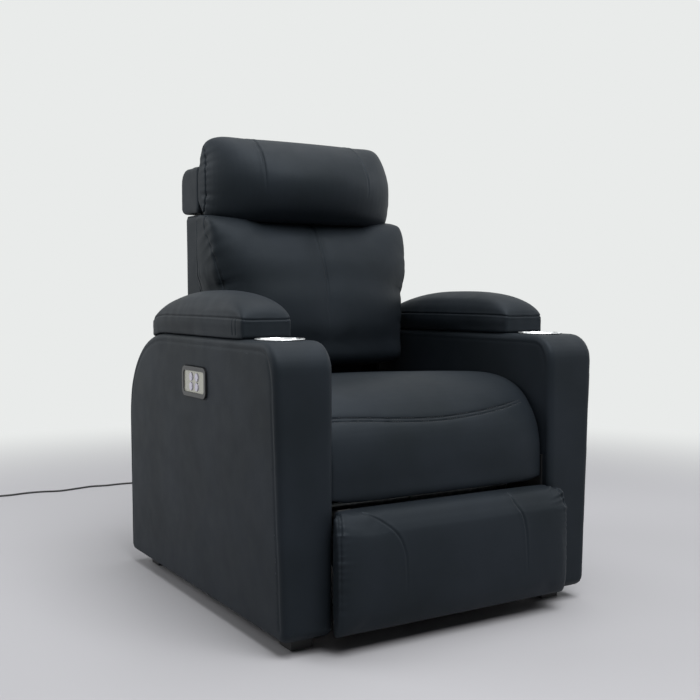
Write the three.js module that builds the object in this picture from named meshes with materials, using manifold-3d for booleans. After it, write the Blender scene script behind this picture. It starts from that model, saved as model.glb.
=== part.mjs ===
// Cinema recliner seat with power backrest, leg rest and headrest, in millimetres, +Z up.
// While it is built, X = 0 is the middle of the seat, Y = 0 the front plane of the arms, Z = 0 the floor.
// The sitter looks along -Y, and "left" is the -X side. The finished group is moved so that its
// origin is at the bottom centre of the seat, without the power lead.

import * as THREE from 'three';
import { mergeVertices } from 'three/addons/utils/BufferGeometryUtils.js';
import Module from 'manifold-3d';

const wasm = await Module();
wasm.setup();

// Fits
const gap = 0.3;            // between pieces that touch
const runningGap = 0.6;     // round a pin, radially
const overrun = 5;          // how far a cutting tool runs past the face that it cuts
const sheetSteel = 4;
const plywood = 15;
const roundFacets = 24;     // of a turned piece
const smallRoundFacets = 16;

// Arms
const seatGap = 550;        // between the inner faces of the arms
const armWidth = 110;       // at the foot
const armFlare = 19;        // how much wider an arm is at its top front
const flareAtRearShare = 0.15;
const armDepth = 855;
const armHeight = 600;
const floorGap = 30;
const armFrontRadius = 58;
const armRearRise = 240;    // height of the long rear curve
const armRearReach = 278;   // and its length from front to back
const armRearPower = 2.3;   // of the super-ellipse that it follows
const armEdge = 9;          // rounding of the long edges
const innerFace = seatGap / 2;
const outerFace = innerFace + armWidth;

// Armrest pads
const padFront = 156;
const padRear = 686;
const padCrown = 99;        // above the arm
const padSeamRise = 42;     // the side band, up to the seam
const padOverhang = 2;      // past both faces of the arm
const padFrontPower = 4;    // how squarely the crown ends in front
const padFrontRound = 0.5;  // and how round its nose is
const padRearPower = 2.2;   // the same at the rear, where it falls more gently
const padRearRound = 0.8;

// Cup holders
const cupAlong = 103;       // from the arm's front plane to the cup's axis
const cupInset = 62;        // from the arm's inner face to the cup's axis
const cupRimRadius = 50;
const cupRadius = 42;       // outside of the bowl
const cupWall = 1.5;
const cupDepth = 76;
const cupRimHeight = 3;

// Switch on the outside of the left arm
const switchAlong = 390;
const switchDrop = 100;     // from the top of the arm to the middle of the switch
const bezelLength = 130;
const bezelHeight = 66;
const bezelDepth = 12;
const bezelProud = 6;
const bezelRadius = 15;
const bezelFloor = 3;
const plateLength = 112;
const plateHeight = 47;
const plateRadius = 7;
const plateDepth = 6.5;
const buttonLength = 16;
const buttonHeight = 18;
const buttonProud = 2;
const buttonTravel = 1.5;
const buttonPitchAlong = 31;
const buttonPitchUp = 21;

// Seat
const seatDeckHeight = 335;
const seatRear = 560;
const seatCrown = 516;
const seatFrontSet = 9;     // the seat's front stands this far behind the front of the arms
const seatLipBottom = 281;
const seatLipDepth = 20;
const seatCornerSet = 14;   // how far the front draws back at its two ends
const seatSideGap = 5;
const seatRailSet = 3;      // from the lip to the front rail
const seatRailDepth = 22;
const seatRailHeight = 48;
const springWire = 4;
const springSwing = 20;
const springWaves = 4;
const springPlacesShare = [-0.75, -0.25, 0.25, 0.75];

// Backrest
const backSideGap = 11;     // to the arms
const backSpace = 104;      // from the rear of the seat to the front face of the wooden frame
const backBottom = 300;
const backTop = 888;
const backBottomDepth = 90;
const backTopDepth = 102;
const stileWidth = 30;
const backRailHeight = 30;
const backRailDepth = 76;
const backPanelThickness = 6;
const backHingeSet = 64;    // ahead of the frame's front face
const backHingeDrop = 5;    // below the seat deck
const backHingeRadius = 7;
const backCushionBottom = 515;
const backCushionDepth = 181;
const backSideSetback = 55; // the side edge of the cushion lies this far behind its middle
const backSwell = 12;       // how much wider the cushion is on each side above the armrest pads
const backSwellRise = 40;   // height in which it gets so wide
const backEarRise = 12;     // how much higher its top is beside the headrest hinge
const backEarDepth = 60;    // height of the part of the cushion that rises with it
const backEarSpace = 10;    // from the end of the hinge to where it starts to rise
const backEarLength = 50;   // length in which it gets so high

// Headrest
const headSideGap = 7;      // to the arms
const headBoardSet = 12;    // behind the front face of the back frame
const headBoardDepth = 108;
const headBoardSpace = 5;   // above the back frame
const headBoardHeight = 113;
const headBoardRadius = 34;
const bolsterDepth = 174;   // in front of its board
const bolsterHeight = 207;
const headHingeSet = 64;    // ahead of the front face of the back frame
const headHingeDrop = 18.5; // below the top of the back frame
const headHingeRadius = 3;
const knuckleWall = 2;
const leafThickness = 3;
const leafInner = 70;       // half width of the fixed leaf
const leafOuter = 120;      // half width of the moving leaf and its pin

// Leg rest
const legPivotAlong = 150;
const legPivotHeight = 250;
const driveLinkLength = 160;
const extensionLinkLength = 180;
const boardPivotAlong = 60;
const boardPivotHeight = 190;
const linkHalfWidth = 11;
const driveLinkRoot = 17;   // half width of the drive link at the torque tube
const linkThickness = 4;
const linkPinRadius = 6;
const linkSpace = 2;        // between two links that pass each other
const torqueTubeRadius = 12.5;
const crankLength = 60;
const crankStart = -151.8;  // degrees from straight ahead
const footrestFront = -50;
const footrestBottom = 33;
const footrestTop = 275;
const footrestLap = 18;     // over each arm, in front of it
const footrestWing = 30;    // depth of the part that laps the arms
const footrestWingGap = 4;  // from that part's rear to the arms
const footrestSideGap = 7;  // to each arm, between them
const footrestDepth = 68;
const boardSideGap = 25;    // to each arm
const boardMargin = 12;

// Base
const footWidth = 50;
const footInset = 44;       // from the front and rear of the arm
const footSideInset = 38;   // from the outer face of the arm
const footTaper = 2;
const frontRailAlong = 70;
const frontRailDepth = 25;
const frontRailHeight = 26;
const crossRailBottom = 34;
const rearRailInset = 55;   // from the rear of the arms
const rearRailDepth = 22;
const rearRailHeight = 140;
const plateBottom = 228;
const plateFront = 22;
const plateRise = 20;       // of the side plate over the seat deck, at the back hinge
const plateMargin = 27;     // of steel round the back hinge

// Actuators
const railHalfWidth = 18;
const railHeight = 22;
const railBottom = 146;
const railFront = 75;
const lugLength = 40;
const motorLength = 70;
const motorHeight = 50;
const motorHalfWidth = 30;
const motorRadius = 24;
const motorSpan = 150;
const sliderLength = 44;
const sliderWall = 6;
const cheekHeight = 60;
const crankHalfThickness = 4;
const headMotorHalfWidth = 30;
const headMotorDepth = 38;
const headMotorLength = 180;
const headMotorDrop = 328;  // from the top of the back frame to the motor's foot
const headRodRadius = 7;
const headRodTravel = 60;   // length of the rod inside its motor
const headRodSet = 36;      // behind the front face of the back frame

// Power supply and lead
const supplyLength = 120;
const supplyDepth = 60;
const supplyHeight = 40;
const supplyEdge = 4;
const leadDiameter = 6;
const leadAcross = 40;
const leadHeight = 92;
const reliefLength = 32;
const reliefRadius = 6.5;
const reliefFlangeRadius = 10;
const reliefFlange = 3;
const leadStraight = 18;    // before it bends down
const leadSides = 8;
const leadSteps = 78;
// The lead's route from the strain relief: down to the floor, back behind the seat and off to the left
const leadRoute = [
  [40, 892, 87], [41, 909, 68], [43, 924, 40], [46, 943, 17], [50, 968, 6.4],
  [57, 1000, 3.7], [70, 1050, 3.2], [90, 1130, 3.2], [116, 1220, 3.2], [140, 1320, 3.2],
  [150, 1430, 3.2], [146, 1540, 3.2], [134, 1640, 3.2], [112, 1730, 3.2], [72, 1805, 3.2],
  [20, 1850, 3.2], [-30, 1872, 3.2], [-80, 1878, 3.2], [-130, 1876, 3.2], [-180, 1886, 3.2],
  [-235, 1874, 3.2], [-300, 1862, 3.2], [-360, 1880, 3.2], [-410, 1884, 3.2], [-460, 1876, 3.2],
  [-500, 1878, 3.2], [-530, 1880, 3.2], [-560, 1880, 3.2],
];
const coilLoops = 4;
const coilLayers = 2;
const coilPitch = 6.9;      // from one turn to the next, and from one layer to the next
const coilRadius = 38;      // of the outer turn
const coilSides = 6;
const coilSteps = 24;       // for one turn
const coilTail = 44;        // straight run from the coil to the plug
const plugLength = 38;
const plugWidth = 26;
const plugThickness = 19;
const plugEdge = 3;
const pinLength = 16;
const pinWidth = 6.4;
const pinThickness = 1.6;
const pinPitch = 12.7;

// Places that follow from the sizes above
const cupAcross = innerFace + cupInset;
const backHalfWidth = innerFace - backSideGap;
const headHalfWidth = innerFace - headSideGap;
const footrestHalfWidth = innerFace + footrestLap;
const footrestRearHalfWidth = innerFace - footrestSideGap;
const boardHalfWidth = innerFace - boardSideGap;
const rearRailAlong = armDepth - rearRailInset;
const backFront = seatRear + backSpace;
const backHingeAlong = backFront - backHingeSet;
const backCushionFront = backFront - backCushionDepth;
const headBoardFront = backFront + headBoardSet;
const headBoardRear = headBoardFront + headBoardDepth;
const bolsterFront = headBoardFront - bolsterDepth;
const headHingeAlong = backFront - headHingeSet;
const headRodAlong = backFront + headRodSet;
const switchHeight = armHeight - switchDrop;
const backHingeHeight = seatDeckHeight - backHingeDrop;
const headHingeHeight = backTop - headHingeDrop;
const knuckleRadius = headHingeRadius + knuckleWall;
const backCushionTop = headHingeHeight + knuckleRadius * 0.9;
const bolsterBottom = headHingeHeight + knuckleRadius * 0.5;
const bolsterTop = bolsterBottom + bolsterHeight;
const headBoardBottom = backTop + headBoardSpace;
const headBoardTop = headBoardBottom + headBoardHeight;
const headMotorBottom = backTop - headMotorDrop;

const leather = { color: 0x24272b, roughness: 0.48, metalness: 0 };
const steel = { color: 0x5b5f63, roughness: 0.45, metalness: 0.9 };
const blackSteel = { color: 0x1d1e20, roughness: 0.55, metalness: 0.5 };
const stainless = { color: 0xc9ccce, roughness: 0.18, metalness: 1 };
const wood = { color: 0xb48d5f, roughness: 0.75, metalness: 0 };
const blackPlastic = { color: 0x18191b, roughness: 0.5, metalness: 0 };
const darkPlastic = { color: 0x3b3c3f, roughness: 0.4, metalness: 0 };
const switchSilver = { color: 0xb9b9ae, roughness: 0.35, metalness: 0.7 };
const buttonSilver = { color: 0xc8c4d8, roughness: 0.3, metalness: 0.6 };
const flex = { color: 0x121314, roughness: 0.55, metalness: 0 };

const row = new THREE.Group();
const chair = new THREE.Group();
row.add(chair);
const leadPieces = [];

function piece(name, geometry, finish) {
  geometry.computeVertexNormals();
  const mesh = new THREE.Mesh(geometry, new THREE.MeshStandardMaterial(finish));
  mesh.name = name;
  chair.add(mesh);
  return mesh;
}

const sides = [['left', -1], ['right', 1]];
const point = (x, y, z) => new THREE.Vector3(x, y, z);

// Closed meshes, and cuts and joins between them

function welded(geometry) {
  const bare = geometry.clone();
  for (const name of Object.keys(bare.attributes)) {
    if (name !== 'position') bare.deleteAttribute(name);
  }
  return mergeVertices(bare, 1e-4);
}

function solid(geometry) {
  const merged = welded(geometry);
  return new wasm.Manifold(new wasm.Mesh({
    numProp: 3,
    vertProperties: new Float32Array(merged.attributes.position.array),
    triVerts: new Uint32Array(merged.index.array),
  }));
}

function fromSolid(shape) {
  const { vertProperties, triVerts } = shape.getMesh();
  const geometry = new THREE.BufferGeometry();
  geometry.setAttribute('position', new THREE.BufferAttribute(vertProperties, 3));
  geometry.setIndex(new THREE.BufferAttribute(triVerts, 1));
  return geometry;
}

const cut = (body, ...tools) => fromSolid(
  tools.reduce((all, tool) => all.subtract(solid(tool)), solid(body)));
const joined = (body, ...more) => fromSolid(
  more.reduce((all, other) => all.add(solid(other)), solid(body)));

function mirrored(geometry) {
  const copy = welded(geometry);
  copy.scale(-1, 1, 1);
  copy.index.array.reverse();
  return copy;
}

const onSide = (geometry, side) => (side < 0 ? mirrored(geometry) : geometry);

// A closed solid through a row of rings, each a list of as many points
function loft(rings) {
  const count = rings[0].length;
  const positions = rings.flat().flatMap((p) => [p.x, p.y, p.z]);
  const index = [];
  for (let ring = 0; ring + 1 < rings.length; ring++) {
    for (let i = 0; i < count; i++) {
      const a = ring * count + i;
      const b = ring * count + (i + 1) % count;
      index.push(a, b, b + count, a, b + count, a + count);
    }
  }
  [0, rings.length - 1].forEach((ring) => {
    const middle = rings[ring].reduce((sum, p) => sum.add(p), point(0, 0, 0)).divideScalar(count);
    const hub = positions.length / 3;
    positions.push(middle.x, middle.y, middle.z);
    for (let i = 0; i < count; i++) {
      const a = ring * count + i;
      const b = ring * count + (i + 1) % count;
      if (ring === 0) index.push(hub, b, a);
      else index.push(hub, a, b);
    }
  });
  const geometry = new THREE.BufferGeometry();
  geometry.setAttribute('position', new THREE.Float32BufferAttribute(positions, 3));
  geometry.setIndex(volume(positions, index) < 0 ? index.reverse() : index);
  return geometry;
}

function volume(positions, index) {
  const corner = (i) => point(...positions.slice(3 * i, 3 * i + 3));
  let sum = 0;
  for (let i = 0; i < index.length; i += 3) {
    sum += corner(index[i]).dot(corner(index[i + 1]).cross(corner(index[i + 2])));
  }
  return sum;
}

// A smooth closed outline through a few [along, up] places
function outline(places, count) {
  const curve = new THREE.CatmullRomCurve3(places.map(([a, b]) => point(0, a, b)), true, 'centripetal');
  return curve.getPoints(count).slice(0, count).map((p) => [p.y, p.z]);
}

function box(x0, x1, y0, y1, z0, z1) {
  const geometry = new THREE.BoxGeometry(x1 - x0, y1 - y0, z1 - z0);
  return geometry.translate((x0 + x1) / 2, (y0 + y1) / 2, (z0 + z1) / 2);
}

// A flat plate whose outline is drawn in Y and Z, from x0 to x1
function plate(shape, x0, x1, segments = 8) {
  const geometry = new THREE.ExtrudeGeometry(shape, {
    depth: x1 - x0, bevelEnabled: false, curveSegments: segments,
  });
  const turn = new THREE.Matrix4().makeBasis(point(0, 1, 0), point(0, 0, 1), point(1, 0, 0));
  return geometry.applyMatrix4(turn).translate(x0, 0, 0);
}

function rod(radius, x0, x1, y, z, sidesRound = roundFacets) {
  const geometry = new THREE.CylinderGeometry(radius, radius, x1 - x0, sidesRound);
  return geometry.rotateZ(Math.PI / 2).translate((x0 + x1) / 2, y, z);
}

const polygon = (places) => new THREE.Shape(places.map(([a, b]) => new THREE.Vector2(a, b)));

function hole(y, z, radius) {
  const path = new THREE.Path();
  path.absarc(y, z, radius, 0, 2 * Math.PI, true);
  return path;
}

function roundedRect(width, height, radius) {
  const [a, b] = [width / 2 - radius, height / 2 - radius];
  const shape = new THREE.Shape();
  shape.absarc(a, b, radius, 0, Math.PI / 2);
  shape.absarc(-a, b, radius, Math.PI / 2, Math.PI);
  shape.absarc(-a, -b, radius, Math.PI, 1.5 * Math.PI);
  shape.absarc(a, -b, radius, 1.5 * Math.PI, 2 * Math.PI);
  return shape;
}

// A flat bar with round ends from one pivot to another, which may taper
function linkShape(from, to, fromHalf, toHalf) {
  const angle = Math.atan2(to[1] - from[1], to[0] - from[0]);
  const shape = new THREE.Shape();
  shape.absarc(to[0], to[1], toHalf, angle - Math.PI / 2, angle + Math.PI / 2);
  shape.absarc(from[0], from[1], fromHalf, angle + Math.PI / 2, angle + 1.5 * Math.PI);
  return shape;
}

// A soft piece sewn from one section that draws in towards its two ends.
// squareness is high for a boxy cushion and low for a round bolster.
function cushion({ halfWidth, stations, squareness, section }) {
  const rings = [];
  for (let k = 0; k <= stations; k++) {
    const share = Math.sin((k / stations - 0.5) * Math.PI);
    const fullness = (1 - Math.abs(share * 0.997) ** squareness) ** (1 / squareness);
    rings.push(section(share, fullness).map(([y, z]) => point(share * halfWidth, y, z)));
  }
  return loft(rings);
}

const towards = (places, [y, z], shareY, shareZ) => places.map(
  ([a, b]) => [y + (a - y) * shareY, z + (b - z) * shareZ]);

// The arms: upholstered boxes with a long rear curve, wider at the top front

const armCurveStart = armDepth - armRearReach;

function armTopAt(y) {
  const share = Math.max(0, Math.min(1, (y - armCurveStart) / armRearReach));
  return armHeight - armRearRise * (1 - (1 - share ** armRearPower) ** (1 / armRearPower));
}

// How much wider the arm is at a place on its outer side than at its foot
const flareAt = (y, z) => armFlare * (z - floorGap) / (armHeight - floorGap)
  * (1 - (1 - flareAtRearShare) * y / armDepth);

function armProfile(inset) {
  const places = [];
  const arc = (cy, cz, ry, rz, from, to, steps, power) => {
    for (let i = 0; i <= steps; i++) {
      const angle = (from + (to - from) * i / steps) * Math.PI / 180;
      const [a, b] = [Math.cos(angle), Math.sin(angle)]
        .map((v) => Math.sign(v) * Math.abs(v) ** (2 / power));
      places.push([cy + (ry - inset) * a, cz + (rz - inset) * b]);
    }
  };
  arc(armFrontRadius, armHeight - armFrontRadius, armFrontRadius, armFrontRadius, 180, 90, 6, 2);
  arc(armCurveStart, armHeight - armRearRise, armRearReach, armRearRise, 90, 0, 12, armRearPower);
  places.push([armDepth - inset, floorGap + armEdge], [armDepth - armEdge, floorGap + inset]);
  places.push([armEdge, floorGap + inset], [inset, floorGap + armEdge]);
  return places;
}

function armSolid() {
  const turns = 4;
  const edge = [];
  for (let i = 0; i <= turns; i++) {
    const angle = i / turns * Math.PI / 2;
    edge.push([armEdge * (1 - Math.sin(angle)), armEdge * (1 - Math.cos(angle))]);
  }
  const inner = edge.map(([inset, depth]) => armProfile(inset)
    .map(([y, z]) => point(innerFace + depth, y, z)));
  const outer = edge.map(([inset, depth]) => armProfile(inset)
    .map(([y, z]) => point(outerFace - depth + flareAt(y, z), y, z)));
  return loft([...inner, ...outer.reverse()]);
}

const cupTool = new THREE.CylinderGeometry(cupRadius + gap, cupRadius + gap, cupDepth + gap + overrun, 28)
  .rotateX(Math.PI / 2)
  .translate(cupAcross, cupAlong, armHeight - cupDepth - gap + (cupDepth + gap + overrun) / 2);
const switchFace = outerFace + flareAt(switchAlong, switchHeight) + bezelProud;

// Turns a piece drawn face up in X and Y so that it faces out of the left arm
function onSwitch(geometry) {
  const turn = new THREE.Matrix4().makeBasis(point(0, -1, 0), point(0, 0, 1), point(-1, 0, 0));
  return geometry.applyMatrix4(turn).translate(-switchFace, switchAlong, switchHeight);
}

function slab(shape, bottom, top, segments = 8) {
  const geometry = new THREE.ExtrudeGeometry(shape, {
    depth: top - bottom, bevelEnabled: false, curveSegments: segments,
  });
  return geometry.translate(0, 0, bottom);
}

const pocketShape = roundedRect(bezelLength + 2 * gap, bezelHeight + 2 * gap, bezelRadius + gap);
const pocketTool = onSwitch(slab(pocketShape, -bezelDepth - gap, overrun, 5));
for (const [name, side] of sides) {
  const arm = onSide(cut(armSolid(), cupTool), side);
  piece(`arm_${name}`, side < 0 ? cut(arm, pocketTool) : arm, leather);
}

// The feet under the arms

function footSolid(front) {
  const [x, y] = [outerFace - footSideInset - footWidth / 2, front + footWidth / 2];
  const square = (half, z) => [[-1, -1], [1, -1], [1, 1], [-1, 1]]
    .map(([a, b]) => point(x + a * half, y + b * half, z));
  return loft([square(footWidth / 2 - footTaper, 0), square(footWidth / 2, floorGap - gap)]);
}

for (const [name, side] of sides) {
  piece(`foot_front_${name}`, onSide(footSolid(footInset), side), blackPlastic);
  piece(`foot_rear_${name}`, onSide(footSolid(armDepth - footInset - footWidth), side), blackPlastic);
}

// The armrest pads: a crowned top over a side band, lying on the arm

function padSolid() {
  const rings = [];
  const stations = 14;
  const middle = (padFront + padRear) / 2;
  const halfLength = (padRear - padFront) / 2;
  for (let k = 0; k <= stations; k++) {
    const share = Math.sin((k / stations - 0.5) * Math.PI);
    const fullness = (1 - Math.abs(share * 0.997) ** 7) ** (1 / 7);
    const y = middle + share * halfLength;
    const outer = outerFace + flareAt(y, armHeight);
    const centre = (innerFace + outer) / 2;
    const half = (outer - innerFace) / 2 + padOverhang;
    const seam = padSeamRise * (0.8 + 0.2 * fullness);
    const [power, round] = share < 0 ? [padFrontPower, padFrontRound] : [padRearPower, padRearRound];
    const crown = seam + (padCrown - padSeamRise) * (1 - Math.abs(share) ** power) ** round + gap;
    const bandShares = [[0.93, 0], [0.99, 0.4], [1, 0.75], [0.97, 1]];
    const crownShares = [[0.94, 0.42], [0.78, 0.74], [0.45, 0.94]];
    const wide = half * (0.6 + 0.4 * fullness);
    const places = [
      ...bandShares.map(([across, up]) => [-across * wide, seam * up]),
      ...crownShares.map(([across, up]) => [-across * wide, seam + (crown - seam) * up]), [0, crown],
      ...crownShares.map(([across, up]) => [across * wide, seam + (crown - seam) * up]).reverse(),
      ...bandShares.map(([across, up]) => [across * wide, seam * up]).reverse(),
      [half / 2, 0], [0, 0], [-half / 2, 0],
    ];
    const bottom = armTopAt(y) + gap;
    rings.push(outline(places, 28)
      .map(([across, up]) => point(centre + across, y, bottom + Math.max(0, up))));
  }
  return loft(rings);
}

for (const [name, side] of sides) piece(`armrest_pad_${name}`, onSide(padSolid(), side), leather);

// The cup holders: pressed bowls with a flat rim on the arm

function cupSolid() {
  const rim = armHeight + gap;
  const floor = armHeight - cupDepth;
  const inner = cupRadius - cupWall;
  const profile = [
    [0, floor], [cupRadius - 4 * cupWall, floor], [cupRadius, floor + 4 * cupWall], [cupRadius, rim],
    [cupRimRadius - cupWall, rim], [cupRimRadius, rim + cupWall],
    [cupRimRadius - cupWall, rim + cupRimHeight], [cupRadius, rim + cupRimHeight],
    [inner, rim + cupRimHeight - 2 * cupWall], [inner, floor + 4 * cupWall],
    [inner - 3 * cupWall, floor + cupWall], [0, floor + cupWall],
  ].map(([r, z]) => new THREE.Vector2(r, z));
  return new THREE.LatheGeometry(profile, 28).rotateX(Math.PI / 2);
}

for (const [name, side] of sides) {
  piece(`cup_holder_${name}`, cupSolid().translate(side * cupAcross, cupAlong, 0), stainless);
}

// The switch: a bezel let into the arm, a plate in it, and four buttons in the plate

const recess = slab(roundedRect(plateLength + 2 * gap, plateHeight + 2 * gap, plateRadius + gap),
  bezelFloor - bezelDepth, overrun, 4);
const bezelBlock = slab(roundedRect(bezelLength, bezelHeight, bezelRadius), -bezelDepth, 0, 5);
piece('switch_bezel', onSwitch(cut(bezelBlock, recess)), darkPlastic);

const buttonPlaces = [
  ['button_recline', 0.5, 0.5], ['button_upright', -0.5, 0.5],
  ['button_head_forward', 0.5, -0.5], ['button_head_back', -0.5, -0.5],
];
const plateBottomLevel = bezelFloor - bezelDepth + gap;
const oval = (grow, along, up) => {
  const shape = new THREE.Shape();
  shape.absellipse(along, up, buttonLength / 2 + grow, buttonHeight / 2 + grow, 0, 2 * Math.PI);
  return shape;
};
const plateTopLevel = plateBottomLevel + plateDepth;
const plateShape = roundedRect(plateLength, plateHeight, plateRadius);
plateShape.holes = buttonPlaces.map(([, along, up]) => new THREE.Path(
  oval(runningGap, along * buttonPitchAlong, up * buttonPitchUp).getPoints(10)));
piece('switch_plate', onSwitch(slab(plateShape, plateBottomLevel, plateTopLevel, 4)), switchSilver);
for (const [name, along, up] of buttonPlaces) {
  const bottom = plateBottomLevel + buttonTravel + gap;
  const top = plateTopLevel + buttonProud;
  const stem = slab(oval(0, along * buttonPitchAlong, up * buttonPitchUp), bottom, top, 10);
  piece(name, onSwitch(stem), buttonSilver);
}

// The side plates on the arms, which carry the seat rails and both pivots

const plateOuter = innerFace - gap;
const plateInner = plateOuter - sheetSteel;

function sidePlateSolid() {
  const rear = backHingeAlong + plateMargin;
  const shape = polygon([
    [plateFront, plateBottom + plateMargin], [plateFront + plateMargin, plateBottom],
    [seatRear, plateBottom], [rear, backHingeHeight - plateMargin], [rear, seatDeckHeight + plateRise],
    [backHingeAlong - plateMargin, seatDeckHeight + plateRise],
    [backHingeAlong - plateMargin, seatDeckHeight], [plateFront, seatDeckHeight],
  ]);
  shape.holes = [
    hole(legPivotAlong, legPivotHeight, torqueTubeRadius + runningGap),
    hole(backHingeAlong, backHingeHeight, backHingeRadius + runningGap),
  ];
  return plate(shape, plateInner, plateOuter);
}

for (const [name, side] of sides) piece(`side_plate_${name}`, onSide(sidePlateSolid(), side), steel);

// The seat: two wooden rails between the side plates, springs between them, and the cushion

const seatRailEnd = plateInner - gap;
const railTop = seatDeckHeight - gap;
const frontRailStart = seatFrontSet + seatLipDepth + seatRailSet;
const rearRailStart = seatRear - seatRailDepth;
for (const [name, start] of [['front', frontRailStart], ['rear', rearRailStart]]) {
  const rail = box(-seatRailEnd, seatRailEnd, start, start + seatRailDepth,
    railTop - seatRailHeight, railTop);
  piece(`seat_rail_${name}`, rail, wood);
}

function springSolid(x) {
  const start = frontRailStart + seatRailDepth + gap;
  const end = rearRailStart - gap;
  const z = railTop - springWire;
  const places = [point(x, start, z), point(x, start + springWire, z)];
  const bends = springWaves * 2;
  for (let i = 0; i < bends; i++) {
    const y = start + (end - start) * (i + 0.5) / bends;
    places.push(point(x + (i % 2 ? springSwing : -springSwing), y, z));
  }
  places.push(point(x, end - springWire, z), point(x, end, z));
  const wire = new THREE.CatmullRomCurve3(places, false, 'centripetal');
  const round = new THREE.Shape();
  round.absarc(0, 0, springWire / 2, 0, 2 * Math.PI);
  return new THREE.ExtrudeGeometry(round, {
    extrudePath: wire, steps: bends * 3, curveSegments: 3, bevelEnabled: false,
  });
}

springPlacesShare.forEach((share, i) => {
  piece(`seat_spring_${i + 1}`, springSolid(share * innerFace), blackSteel);
});

function seatSection(share, fullness) {
  const lipRear = seatFrontSet + seatLipDepth;
  const deck = seatDeckHeight + gap;
  const lip = deck - seatLipBottom;
  const crown = (seatCrown - deck) * (0.86 + 0.14 * (1 - share ** 2));
  const front = seatFrontSet + seatCornerSet * Math.abs(share) ** 6;
  const place = (back, up) => [front + (seatRear - front) * back, deck + crown * up];
  const places = [
    [front + seatLipDepth * 0.1, seatLipBottom], [lipRear - seatLipDepth * 0.05, seatLipBottom],
    [lipRear, seatLipBottom + lip * 0.15], [lipRear, deck - lip * 0.1],
    [lipRear + seatLipDepth * 0.05, deck], [lipRear + seatLipDepth * 0.6, deck],
    place(0.3, 0), place(0.6, 0), place(0.965, 0), place(0.997, 0.02), place(1, 0.4),
    place(0.99, 0.78), place(0.93, 0.92), place(0.7, 0.967), place(0.48, 1), place(0.3, 0.983),
    place(0.181, 0.91), place(0.105, 0.79), place(0.054, 0.62), place(0.018, 0.42),
    place(0, 0.17), place(-0.002, -0.08),
  ];
  const smooth = outline(places, 32);
  const drawnIn = towards(smooth, [seatRear / 2, deck], 0.95 + 0.05 * fullness, 0.62 + 0.38 * fullness);
  return smooth.map(([y, z], i) => {
    if (z < deck && y < seatRear / 2) return [Math.min(y, lipRear), Math.max(z, seatLipBottom)];
    return [y < seatRear / 2 ? y : drawnIn[i][0], Math.max(drawnIn[i][1], deck)];
  });
}

piece('seat_cushion', cushion({
  halfWidth: innerFace - seatSideGap, stations: 14, squareness: 9, section: seatSection,
}), leather);

// The backrest: a wooden frame with a rear panel, the cushion in front, and a steel bracket each side

const backDepthAt = (z) => backBottomDepth
  + (backTopDepth - backBottomDepth) * (z - backBottom) / (backTop - backBottom);
const stileShape = polygon([
  [backFront, backBottom], [backFront + backBottomDepth, backBottom],
  [backFront + backTopDepth, backTop], [backFront, backTop],
]);
for (const [name, side] of sides) {
  const stile = plate(stileShape, backHalfWidth - stileWidth, backHalfWidth);
  piece(`back_stile_${name}`, onSide(stile, side), leather);
}

const backInside = backHalfWidth - stileWidth - gap;
const uprightRod = (radius, z0, z1) => new THREE.CylinderGeometry(radius, radius, z1 - z0, 20)
  .rotateX(Math.PI / 2).translate(0, headRodAlong, (z0 + z1) / 2);
const rodTool = uprightRod(headRodRadius + runningGap,
  backTop - backRailHeight - overrun, backTop + overrun);
const panelDepthAt = (z) => backDepthAt(z) - backPanelThickness;
const topRail = box(-backInside, backInside, backFront, backFront + backRailDepth,
  backTop - backRailHeight, backTop);
piece('back_rail_top', cut(topRail, rodTool), wood);
piece('back_rail_bottom', box(-backInside, backInside,
  backFront, backFront + panelDepthAt(backBottom) - gap, backBottom, backBottom + backRailHeight), wood);
const panelShape = polygon([
  [backFront + panelDepthAt(backBottom), backBottom], [backFront + backBottomDepth, backBottom],
  [backFront + backTopDepth, backTop], [backFront + panelDepthAt(backTop), backTop],
]);
piece('back_panel', plate(panelShape, -backInside, backInside), leather);

const bracketOuter = backHalfWidth + gap + sheetSteel;
function backBracketSolid() {
  const [y, z] = [backHingeAlong, backHingeHeight];
  const arc = [];
  for (let i = 0; i <= 8; i++) {
    const angle = Math.PI * (0.75 + i / 8);
    arc.push([y + plateMargin * 0.8 * Math.cos(angle), z + plateMargin * 0.8 * Math.sin(angle)]);
  }
  const shape = polygon([
    ...arc, [backFront + backBottomDepth * 0.8, z],
    [backFront + backBottomDepth * 0.8, z + 5 * plateMargin],
    [backFront + backBottomDepth * 0.2, z + 5 * plateMargin],
  ]);
  const pin = rod(backHingeRadius, bracketOuter - sheetSteel / 2, plateOuter - gap, y, z);
  return joined(plate(shape, backHalfWidth + gap, bracketOuter), pin);
}

for (const [name, side] of sides) piece(`back_bracket_${name}`, onSide(backBracketSolid(), side), steel);

function backSection(share, fullness) {
  const rear = backFront - gap;
  const reach = rear - backCushionFront;
  const height = backCushionTop - backCushionBottom;
  const side = backSideSetback * Math.abs(share) ** 2.4;
  const place = (back, up) => [
    backCushionFront + reach * back + side * (1 - up ** 2.5), backCushionBottom + height * up,
  ];
  const places = [
    [rear, backCushionBottom + height * 0.03], [rear, backCushionBottom + height * 0.25],
    [rear, backCushionBottom + height * 0.5], [rear, backCushionBottom + height * 0.75],
    [rear, backCushionBottom + height * 0.96], place(0.96, 1), place(0.82, 0.99), place(0.65, 0.967),
    place(0.52, 0.95), place(0.35, 0.875), place(0.19, 0.723), place(0.11, 0.584), place(0.03, 0.449),
    place(0.01, 0.3), place(0.02, 0.175), place(0, 0.06), place(0.06, 0.015), place(0.3, 0),
    place(0.6, 0), [rear - reach * 0.05, backCushionBottom],
  ];
  const hub = [rear, backCushionBottom + height / 2];
  return towards(outline(places, 30), hub, 0.45 + 0.55 * fullness, 0.9 + 0.1 * fullness)
    .map(([y, z]) => [Math.min(y, rear), z]);
}

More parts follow.
